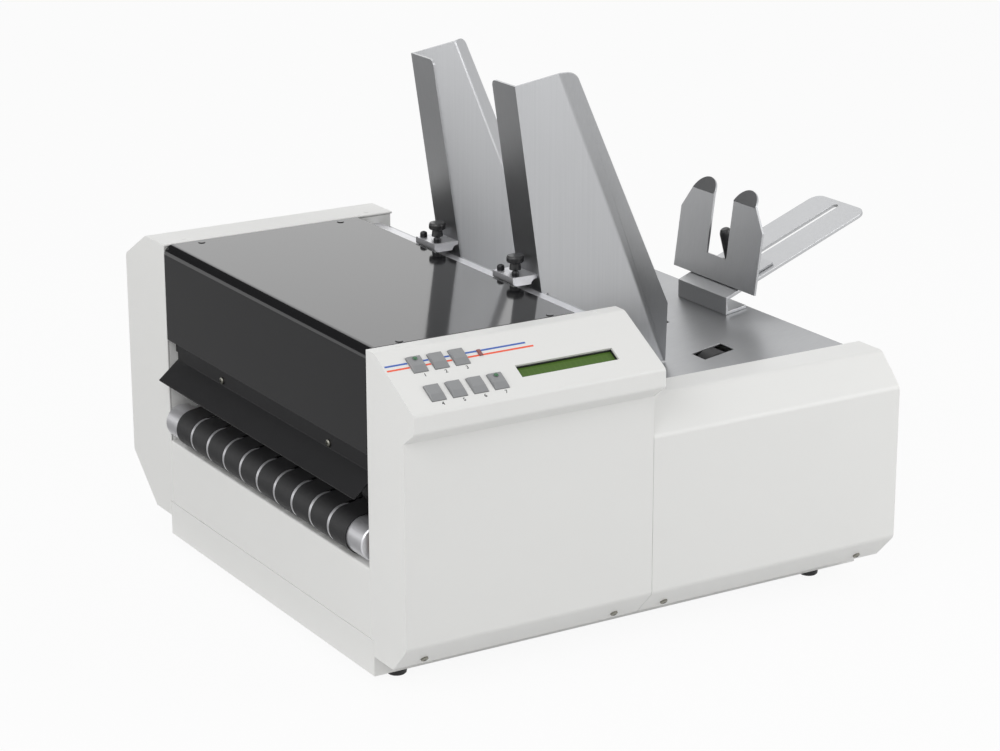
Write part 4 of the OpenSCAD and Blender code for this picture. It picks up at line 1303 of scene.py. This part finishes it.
@dataclass
class Knobs:
    """Black knobs over bright studs.

    Attributes:
        clamp_base: Height of the clamp knobs' lower edge, in mm.
        brass: Colour of their studs, linear.
        clamp_edge: Radius of the clamp knobs' edges in mm.
        tall_edge: Radius of the backstop knob's edges in mm.
    """

    clamp_base: float = 269.85
    brass: Triple = (0.52, 0.36, 0.14)
    clamp_edge: float = 0.3
    tall_edge: float = 0.4

    def build(self) -> None:
        """Dresses the two clamp knobs and the backstop's knob."""
        for node in ("clamp_knob_near", "clamp_knob_far"):
            finish = BandedFinish(
                node, BLACK_PLASTIC.color, 0.34, mottle=0.2, mottle_scale=150.0,
                texture_scale=2600.0, texture_height=0.00002, lower=self.brass,
                origin=tuple(at(0.0, 0.0, self.clamp_base)),
            )
            body = node.replace("clamp_", "")
            piece = SoftEdges(node, self.clamp_edge).build()
            Bench.dress(piece, finish, "black_plastic", body)
        tall = SoftEdges("backstop_knob", self.tall_edge).build()
        Bench.dress(tall, BLACK_PLASTIC, "black_plastic", "backstop_knob")


@dataclass(frozen=True)
class DisplayCase(SoftEdges):
    """The display's black case, with a pocket for the glass.

    Attributes:
        out: Direction out of the panel.
        rim: Width of the rim round the pocket, in mm.
        depth: Depth of the pocket in mm.
    """

    out: Triple = (0.0, -0.491322, 0.870978)
    rim: float = 0.4
    depth: float = 1.6

    def trim(self, piece: bpy.types.Object) -> None:
        """Sinks the pocket into the face behind the panel's opening.

        Args:
            piece: The case.
        """
        out = Vector(self.out)
        top = max(vertex.co.dot(out) for vertex in piece.data.vertices)

        def front(face: bpy.types.MeshPolygon) -> bool:
            """Picks the foremost face."""
            return face.normal.dot(out) > FACING and face.center.dot(out) > top - CLOSE * MM

        def sink() -> None:
            """Leaves a rim and sinks the rest."""
            way = -out * self.depth * MM
            bpy.ops.mesh.inset(thickness=self.rim * MM)
            bpy.ops.mesh.extrude_region_move(TRANSFORM_OT_translate={"value": way})

        Bench.edit_some(piece, Pick.FACES, front, sink)


@dataclass(frozen=True)
class Stripe:
    """A coloured stripe on the sloping panel.

    Attributes:
        name: Name of the piece.
        finish: Its finish.
        down: Distance down the slope, in mm.
        first: Its start, from the exit end, in mm.
        last: Its end, in mm.
    """

    name: str
    finish: Finish
    down: float
    first: float
    last: float


@dataclass
class Console:
    """The sloping panel's trim: stripes, key numbers, lamps and the display. Sizes in mm.

    Attributes:
        crease: Place of the panel's upper edge across the machine, and its height.
        tilt: Slope of the panel in degrees.
        sheet: Thickness of the panel.
        keys: Places of the keys, from the exit end and down the slope.
        key_size: Width and length of a key.
        key_gap: Gap between a key and the end of a stripe.
        key_proud: Height of a key over the panel.
        upper_row: Distance down the slope above which a key lies on the stripes.
        lines: The two stripes.
        stripe: Width and thickness of a stripe.
        plate_edge: Radius of a plate's edges as a share of its thickness.
        print_size: Height of a key's number.
        print_bold: Growth of its outline.
        print_half: Half its thickness.
        print_steps: Steps in a curve of its outline.
        print_off: Place of a number beside the middle of its key, and under the key.
        key_lamp: Radius of a lamp on a key.
        key_lamp_flat: Height of its dome as a share of its radius.
        key_lamp_steps: Steps round it.
        key_lamps: Number of its key, and place from the exit end and down the slope.
        lens: Width, length and thickness of the fault lamp's lens.
        lens_at: Its place from the exit end and down the slope.
        glass: Width, height and thickness of the display's glass.
        glass_at: Its place from the exit end and down the slope.
        case_edge: Radius of the edges of the display's case.
    """

    crease: Pair = (PANEL_CREASE, COVER_TOP)
    tilt: float = 29.4275
    sheet: float = 2.0
    keys: tuple[Pair, ...] = (
        (27.6, 18.0), (45.8, 18.0), (64.0, 18.0), (27.6, 48.4), (45.8, 48.4), (64.0, 48.4),
        (82.2, 48.4),
    )
    key_size: Pair = (12.4, 16.0)
    key_gap: float = 0.6
    key_proud: float = 2.2
    upper_row: float = 30.0
    lines: tuple[Stripe, ...] = (
        Stripe("stripe_blue", STRIPE_BLUE, 15.2, 1.4, 124.0),
        Stripe("stripe_red", STRIPE_RED, 19.7, 1.3, 129.0),
    )
    stripe: Pair = (1.7, 0.06)
    plate_edge: float = 0.4
    print_size: float = 4.6
    print_bold: float = 0.08
    print_half: float = 0.03
    print_steps: int = 4
    print_off: Pair = (1.5, 3.4)
    key_lamp: float = 1.85
    key_lamp_flat: float = 0.35
    key_lamp_steps: int = 24
    key_lamps: tuple[tuple[int, float, float], ...] = ((1, 27.5, 13.6), (7, 82.2, 44.0))
    lens: Triple = (3.4, 6.6, 0.9)
    lens_at: Pair = (82.4, 17.45)
    glass: Triple = (86.0, 11.2, 0.3)
    glass_at: Pair = (147.5, 42.4)
    case_edge: float = 0.12

    def on_panel(self, x: float, down: float, out: float) -> Matrix:
        """Gives the place of a piece on the panel.

        Args:
            x: Distance from the exit end, in mm.
            down: Distance down the slope, in mm.
            out: Height over the panel, in mm.

        Returns:
            A matrix with x along the machine, y up the slope and z out of the panel.
        """
        turn = Matrix.Rotation(math.radians(self.tilt), 4, "X")
        place = Matrix.Translation(at(0.0, self.crease[0], self.crease[1]))
        return place @ turn @ Matrix.Translation(Vector((x, -down, out)) * MM)

    def _plate(self, name: str, size: Triple, matrix: Matrix) -> bpy.types.Object:
        """Models a thin plate with a broken edge, lying on z = 0 of a place.

        Args:
            name: Name of the piece.
            size: Width, height and thickness in mm.
            matrix: Its place.

        Returns:
            The plate.
        """
        width, height, thick = size
        made = Bench.start(name, bpy.ops.mesh.primitive_plane_add, size=1.0)

        def shape() -> None:
            """Draws the plane out to its size and gives it its thickness."""
            up = (0.0, 0.0, thick * MM)
            bpy.ops.transform.resize(value=(width * MM, height * MM, 1.0))
            bpy.ops.mesh.extrude_region_move(TRANSFORM_OT_translate={"value": up})
            bpy.ops.mesh.select_all(action="SELECT")
            bpy.ops.mesh.normals_make_consistent(inside=False)

        Bench.edit(made, shape)
        Bench.round_edges(made, thick * self.plate_edge, angle=30.0)
        Bench.settle(made, matrix)
        return made

    def _runs(self, first: float, last: float) -> list[Pair]:
        """Gives the stretches of a stripe between the keys and the lamp.

        Args:
            first: Start of the stripe in mm.
            last: End of the stripe in mm.

        Returns:
            Starts and ends of its stretches.
        """
        key_half, lens_half = self.key_size[0] / 2 + self.key_gap, self.lens[0] / 2
        blocks = [(x, key_half) for x, down in self.keys if down < self.upper_row]
        blocks.append((self.lens_at[0], lens_half))
        sides = [side for x, half in sorted(blocks) for side in (x - half, x + half)]
        edges = [first, *sides, last]
        return list(zip(edges[0::2], edges[1::2]))

    def stripes(self) -> None:
        """Makes the blue and the red stripe."""
        for line in self.lines:
            runs = [
                self._plate(
                    f"{line.name}_{number}", (end - start, *self.stripe),
                    self.on_panel((start + end) / 2, line.down, 0.0),
                )
                for number, (start, end) in enumerate(self._runs(line.first, line.last))
            ]
            Bench.dress(Bench.join(runs, line.name), line.finish, "white_paint", HOUSING)

    def numbers(self) -> None:
        """Makes a plain printed number under each key."""
        marks: list[bpy.types.Object] = []
        beside, under = self.print_off
        for number, (x, down) in enumerate(self.keys, start=1):
            text = Bench.start(f"key_number_{number}", bpy.ops.object.text_add).data
            text.body = str(number)
            text.size = self.print_size * MM
            text.offset = self.print_bold * MM
            text.align_x = "CENTER"
            text.align_y = "CENTER"
            text.extrude = self.print_half * MM
            text.resolution_u = self.print_steps
            bpy.ops.object.convert(target="MESH")
            mark = bpy.context.object
            Bench.clean(mark)
            lower = down + self.key_size[1] / 2 + under
            Bench.settle(mark, self.on_panel(x + beside, lower, self.print_half))
            marks.append(mark)
        Bench.dress(Bench.join(marks, "key_numbers"), PRINT_DARK, "black_plastic", HOUSING)

    def lamps(self) -> None:
        """Makes the domed green lamp on the first and the last key."""
        def dome() -> None:
            """Cuts the ball to a low dome."""
            bpy.ops.mesh.bisect(
                plane_co=(0.0, 0.0, 0.0), plane_no=(0.0, 0.0, 1.0), use_fill=True,
                clear_inner=True,
            )
            bpy.ops.mesh.select_all(action="SELECT")
            bpy.ops.transform.resize(value=(1.0, 1.0, self.key_lamp_flat))
            bpy.ops.mesh.normals_make_consistent(inside=False)

        for number, x, down in self.key_lamps:
            lamp = Bench.start(
                f"key_lamp_{number}", bpy.ops.mesh.primitive_uv_sphere_add,
                segments=self.key_lamp_steps, ring_count=self.key_lamp_steps // 2,
                radius=self.key_lamp * MM,
            )
            Bench.edit(lamp, dome)
            Bench.settle(lamp, self.on_panel(x, down, self.key_proud))
            Bench.smooth(lamp)
            Bench.dress(lamp, LENS_GREEN, "display_green", f"key_{number}")

    def display(self) -> None:
        """Makes the display's case and the green glass in its pocket."""
        case = DisplayCase("display", self.case_edge)
        Bench.dress(case.build(), BLACK_PLASTIC, "display_green", HOUSING)
        place = self.on_panel(*self.glass_at, -self.sheet - case.depth)
        glass = self._plate("display_glass", self.glass, place)
        Bench.dress(glass, DISPLAY_GREEN, "display_green", HOUSING)

    def fault_lens(self) -> None:
        """Makes the red lens of the fault lamp, across both stripes."""
        lens = self._plate("fault_lamp_dressed", self.lens, self.on_panel(*self.lens_at, 0.0))
        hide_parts("fault_lamp")
        Bench.dress(lens, LENS_RED, "lamp_red", HOUSING)

    def build(self) -> None:
        """Makes all the trim."""
        self.stripes()
        self.numbers()
        self.lamps()
        self.display()
        self.fault_lens()


@dataclass(frozen=True)
class ScrewHead:
    """A low round screw head, plain or with a cross recess.

    Attributes:
        radius: Radius of the head in mm.
        height: Height of the head in mm.
        flat: Whether the top is flat and plain.
        rim: Height of its upright rim as a share of the height.
        crown: Steps of a round top, as (inset in radii, rise in heights).
        flat_crown: The one step of a flat top.
        recess: Length and width of a bar of the cross, in radii.
        recess_up: Height of a bar's middle, in heights.
        sides: Steps round the head.
        smooth: Angle in degrees up to which its faces are shaded smooth.
    """

    radius: float
    height: float
    flat: bool = False
    rim: float = 0.6
    crown: tuple[Pair, ...] = ((0.16, 0.24), (0.34, 0.16))
    flat_crown: tuple[Pair, ...] = ((0.08, 0.4),)
    recess: Pair = (1.15, 0.24)
    recess_up: float = 1.05
    sides: int = 24
    smooth: float = 30.0

    def _recess(self, head: bpy.types.Object) -> None:
        """Cuts the cross recess out of a head.

        Args:
            head: The head.
        """
        long, wide = (share * self.radius * MM for share in self.recess)
        size = Matrix.Diagonal((long, wide, self.height * MM, 1.0))
        lift = Matrix.Translation((0.0, 0.0, self.height * self.recess_up * MM))
        for turn in (0.0, math.pi / 2):
            bar = Bench.start("recess_bar", bpy.ops.mesh.primitive_cube_add, size=1.0)
            Bench.settle(bar, lift @ Matrix.Rotation(turn, 4, "Z") @ size)
            Bench.apply(head, "BOOLEAN", object=bar, operation="DIFFERENCE", solver="EXACT")
            bpy.data.objects.remove(bar)

    def build(self, name: str) -> bpy.types.Object:
        """Models one head, with its foot on z = 0.

        Args:
            name: Name of the piece.

        Returns:
            The head.
        """
        rim = self.height * self.rim * MM
        made = Bench.start(
            name, bpy.ops.mesh.primitive_cylinder_add, vertices=self.sides,
            radius=self.radius * MM, depth=rim,
        )
        Bench.settle(made, Matrix.Translation((0.0, 0.0, rim / 2)))

        def top(face: bpy.types.MeshPolygon) -> bool:
            """Picks the top face."""
            return face.normal.z > FACING

        def dome() -> None:
            """Draws the top in to a low crown."""
            for inset, rise in self.flat_crown if self.flat else self.crown:
                bpy.ops.mesh.inset(thickness=self.radius * inset * MM)
                bpy.ops.transform.translate(value=(0.0, 0.0, self.height * rise * MM))

        Bench.edit_some(made, Pick.FACES, top, dome)
        if not self.flat:
            self._recess(made)
        Bench.smooth(made, self.smooth)
        return made


@dataclass
class Screws:
    """The screws that hold the sheets. Places in mm.

    Attributes:
        chamfer_x: Places of the chamfers' screws along the machine.
        front: Place of the front chamfer's screws across the machine, and their height.
        front_out: Direction out of the front chamfer.
        rear: Place of the rear chamfer's screws across the machine, and their height.
        rear_out: Direction out of the rear chamfer.
        hood: Place of the hood's screws along the machine, and their height.
        hood_y: Their places across the machine.
        cover_xy: Places of the black cover's screws along and across the machine.
        strip_xy: Places of the top strips' screws along and across the machine.
    """

    chamfer_x: tuple[float, ...] = (24.0, 198.0, 246.0, 442.0)
    front: Pair = (-41.3, 23.6)
    front_out: Triple = (0.0, -0.7234, -0.6905)
    rear: Pair = (408.68, 29.0)
    rear_out: Triple = (0.0, 0.6594, -0.7518)
    hood: Pair = (8.0, 166.0)
    hood_y: Pair = (78.0, 268.0)
    cover_xy: tuple[Pair, Pair] = ((32.0, 166.5), (5.7, 350.5))
    strip_xy: tuple[Pair, Pair] = ((23.5, 202.0), (-5.0, 370.0))

    @staticmethod
    def facing(place: Vector, out: Triple) -> Matrix:
        """Gives a place whose z points along a direction."""
        turn = Vector(out).to_track_quat("Z", "Y").to_matrix().to_4x4()
        return Matrix.Translation(place) @ turn

    def on_top(self, places: tuple[Pair, Pair]) -> list[Matrix]:
        """Gives the four places on the covers' top for two along and two across the machine."""
        up = (0.0, 0.0, 1.0)
        return [self.facing(at(x, y, COVER_TOP), up) for x in places[0] for y in places[1]]

    def build(self) -> None:
        """Makes the screws of the chamfers and the hood, the black cover and the top strips."""
        spots = [
            self.facing(at(x, *line), out)
            for line, out in ((self.front, self.front_out), (self.rear, self.rear_out))
            for x in self.chamfer_x
        ]
        hood_x, hood_z = self.hood
        spots += [self.facing(at(hood_x, y, hood_z), (-1.0, 0.0, 0.0)) for y in self.hood_y]
        name = "sheet_screws"
        sheet_screws = Bench.repeat(ScrewHead(3.1, 1.9).build(name), name, spots)
        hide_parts("panel_screws")
        Bench.dress(sheet_screws, SCREW_STEEL, "bright_steel", HOUSING)
        for name, head, spots, finish, slot, body in (
            ("cover_screws", ScrewHead(3.0, 0.6, flat=True), self.on_top(self.cover_xy),
             GLOSS_BLACK, "gloss_black_sheet", "cover"),
            ("strip_screws", ScrewHead(2.4, 0.4, flat=True), self.on_top(self.strip_xy),
             WHITE_PAINT, "white_paint", HOUSING),
        ):
            Bench.dress(Bench.repeat(head.build(name), name, spots), finish, slot, body)


@dataclass(frozen=True)
class SoftBox:
    """A square lamp that the camera does not see.

    Attributes:
        name: Name of the lamp.
        place: Where it hangs.
        aim: What it points at.
        size: Side of the box in metres.
        watts: Its power.
    """

    name: str
    place: Triple
    aim: Triple
    size: float
    watts: float

    def hang(self) -> None:
        """Hangs the lamp."""
        data = bpy.data.lights.new(self.name, "AREA")
        data.shape = "SQUARE"
        data.size = self.size
        data.energy = self.watts
        lamp = bpy.data.objects.new(self.name, data)
        bpy.context.scene.collection.objects.link(lamp)
        lamp.location = self.place
        lamp.visible_camera = False
        lamp.rotation_mode = "QUATERNION"
        way = Vector(self.aim) - Vector(self.place)
        lamp.rotation_quaternion = way.to_track_quat("-Z", "Y")


@dataclass(frozen=True)
class Card:
    """A plain card that only polished faces show.

    Attributes:
        name: Name of the card.
        place: Its middle.
        size: Its width and length in metres.
        level: Its brightness, 1 being white.
        aim: A point that it faces, or None where it lies flat.
    """

    name: str
    place: Triple
    size: Pair
    level: float
    aim: Triple | None = None

    def stand(self) -> None:
        """Sets up the card."""
        card = Bench.start(self.name, bpy.ops.mesh.primitive_plane_add, size=1.0)
        turn = Matrix.Identity(4)
        if self.aim is not None:
            way = Vector(self.aim) - Vector(self.place)
            turn = way.to_track_quat("Z", "Y").to_matrix().to_4x4()
        size = Matrix.Diagonal((*self.size, 1.0, 1.0))
        Bench.settle(card, Matrix.Translation(self.place) @ turn @ size)
        made, nodes, surface = Studio.bare(self.name + "_paper")
        glow = nodes.add("Emission", {"Color": WHITE, "Strength": self.level})
        nodes.feed(surface, glow.outputs[0])
        card.data.materials.append(made)
        card.visible_camera = False
        card.visible_diffuse = False
        card.visible_shadow = False
        card.visible_transmission = False


@dataclass
class Studio:
    """Floor, soft light, background and the camera.

    Attributes:
        location: Place of the camera from the machine's zero, in metres.
        yaw: Its turn from the machine's +y towards +x, in radians.
        pitch: Its turn downwards, in radians.
        roll: Its turn about its own axis, in radians.
        lens: Its focal length in mm.
        sensor: Width of its sensor in mm.
        far: Its far clipping distance in metres.
        floor_side: Side of the floor in metres.
        floor_grey: Grey of the floor, linear.
        floor_glow: Share of white in the floor as the camera and polished faces see it.
        ambient: Strength of the surroundings as light.
        middle: Middle of the object, at which most lamps point.
        right_front: Point at the right end of the front, for the fill light.
    """

    location: Triple = (-0.949455, -1.757146, 0.871052)
    yaw: float = 0.545707
    pitch: float = 0.304869
    roll: float = -0.002401
    lens: float = 100.337
    sensor: float = 36.0
    far: float = 100.0
    floor_side: float = 40.0
    floor_grey: float = 0.75
    floor_glow: float = 0.93
    ambient: float = 0.42
    middle: Triple = (0.0, 0.0, 0.15)
    right_front: Triple = (0.25, -0.2, 0.12)

    @staticmethod
    def bare(name: str) -> tuple[bpy.types.Material, Nodes, bpy.types.NodeSocket]:
        """Starts a material without a shader.

        Args:
            name: Name of the material.

        Returns:
            The material, helpers for its tree and its surface socket.
        """
        made = bpy.data.materials.new(name)
        made.use_nodes = True
        tree = made.node_tree
        tree.nodes.remove(tree.nodes["Principled BSDF"])
        return made, Nodes(tree), tree.nodes["Material Output"].inputs["Surface"]

    @staticmethod
    def seen(nodes: Nodes) -> bpy.types.NodeSocket:
        """Tells the rays that show the background from those that light the object.

        Args:
            nodes: Helpers for a tree.

        Returns:
            A socket with 1 for rays from the camera, a mirror or glass, and 0 for others.
        """
        path = nodes.add("LightPath").outputs
        rays = {0: path["Is Camera Ray"], 1: path["Is Glossy Ray"]}
        first = nodes.add("Math", rays, operation="MAXIMUM").outputs[0]
        rays = {0: first, 1: path["Is Transmission Ray"]}
        return nodes.add("Math", rays, operation="MAXIMUM").outputs[0]

    def floor(self) -> None:
        """Makes the pale floor, which keeps the object's shadow."""
        floor = Bench.start("floor", bpy.ops.mesh.primitive_plane_add, size=self.floor_side)
        made, nodes, surface = self.bare("floor_white")
        grey = self.floor_grey
        matt = nodes.add("BsdfDiffuse", {"Color": (grey, grey, grey, 1.0)})
        glow = nodes.add("Emission", {"Color": WHITE, "Strength": 1.0})
        rays = {0: self.seen(nodes), 1: self.floor_glow}
        share = nodes.add("Math", rays, operation="MULTIPLY").outputs[0]
        mix = nodes.add("MixShader", {0: share, 1: matt.outputs[0], 2: glow.outputs[0]})
        nodes.feed(surface, mix.outputs[0])
        floor.data.materials.append(made)

    def world(self) -> None:
        """Makes the white surroundings, dimmer as light than as background."""
        world = bpy.data.worlds.new("surroundings")
        bpy.context.scene.world = world
        world.use_nodes = True
        nodes = Nodes(world.node_tree)
        background = world.node_tree.nodes["Background"].inputs
        levels = {"Value": self.seen(nodes), "To Min": self.ambient, "To Max": 1.0}
        nodes.feed(background["Color"], WHITE)
        nodes.feed(background["Strength"], nodes.add("MapRange", levels).outputs["Result"])

    def camera(self) -> None:
        """Sets the camera at the photograph's angle."""
        data = bpy.data.cameras.new("camera")
        data.sensor_width = self.sensor
        data.lens = self.lens
        data.clip_end = self.far
        camera = bpy.data.objects.new("camera", data)
        bpy.context.scene.collection.objects.link(camera)
        cos_yaw, sin_yaw = math.cos(self.yaw), math.sin(self.yaw)
        level = math.cos(self.pitch)
        forward = Vector((sin_yaw * level, cos_yaw * level, -math.sin(self.pitch)))
        right = Vector((cos_yaw, -sin_yaw, 0.0))
        up = right.cross(forward)
        turned = right * math.cos(self.roll) + up * math.sin(self.roll)
        upright = up * math.cos(self.roll) - right * math.sin(self.roll)
        axes = Matrix((turned, upright, -forward)).transposed().to_4x4()
        camera.matrix_world = Matrix.Translation(ZERO + Vector(self.location)) @ axes
        bpy.context.scene.camera = camera

    def build(self) -> None:
        """Sets up the whole studio."""
        bpy.context.scene.view_settings.view_transform = "Standard"
        self.camera()
        self.floor()
        self.world()
        for lamp in (
            SoftBox("key_light", (-1.9, -1.3, 1.7), self.middle, 1.6, 23.0),
            SoftBox("fill_light", (1.15, -1.25, 0.75), self.right_front, 1.0, 10.3),
            SoftBox("side_light", (-2.4, 0.4, 1.0), self.middle, 1.6, 11.0),
            SoftBox("top_light", (0.2, 0.6, 2.4), self.middle, 2.0, 8.0),
            SoftBox("back_light", (1.3, 2.6, 1.15), self.middle, 2.2, 6.5),
        ):
            lamp.hang()
        Card("grey_card", (-0.96, 0.75, 0.002), (1.3, 1.9), 0.32).stand()
        Card("dark_card", (-0.65, 1.7, 1.1), (1.7, 1.2), 0.06, self.middle).stand()


def main() -> None:
    """Builds the studio, the solids' finishes and the added pieces in order."""
    logging.basicConfig(level=logging.INFO)
    Studio().build()
    SolidsTable().build()
    Hopper().build()
    RollerLands().build()
    Knobs().build()
    Console().build()
    Screws().build()


if __name__ == "__main__":
    main()
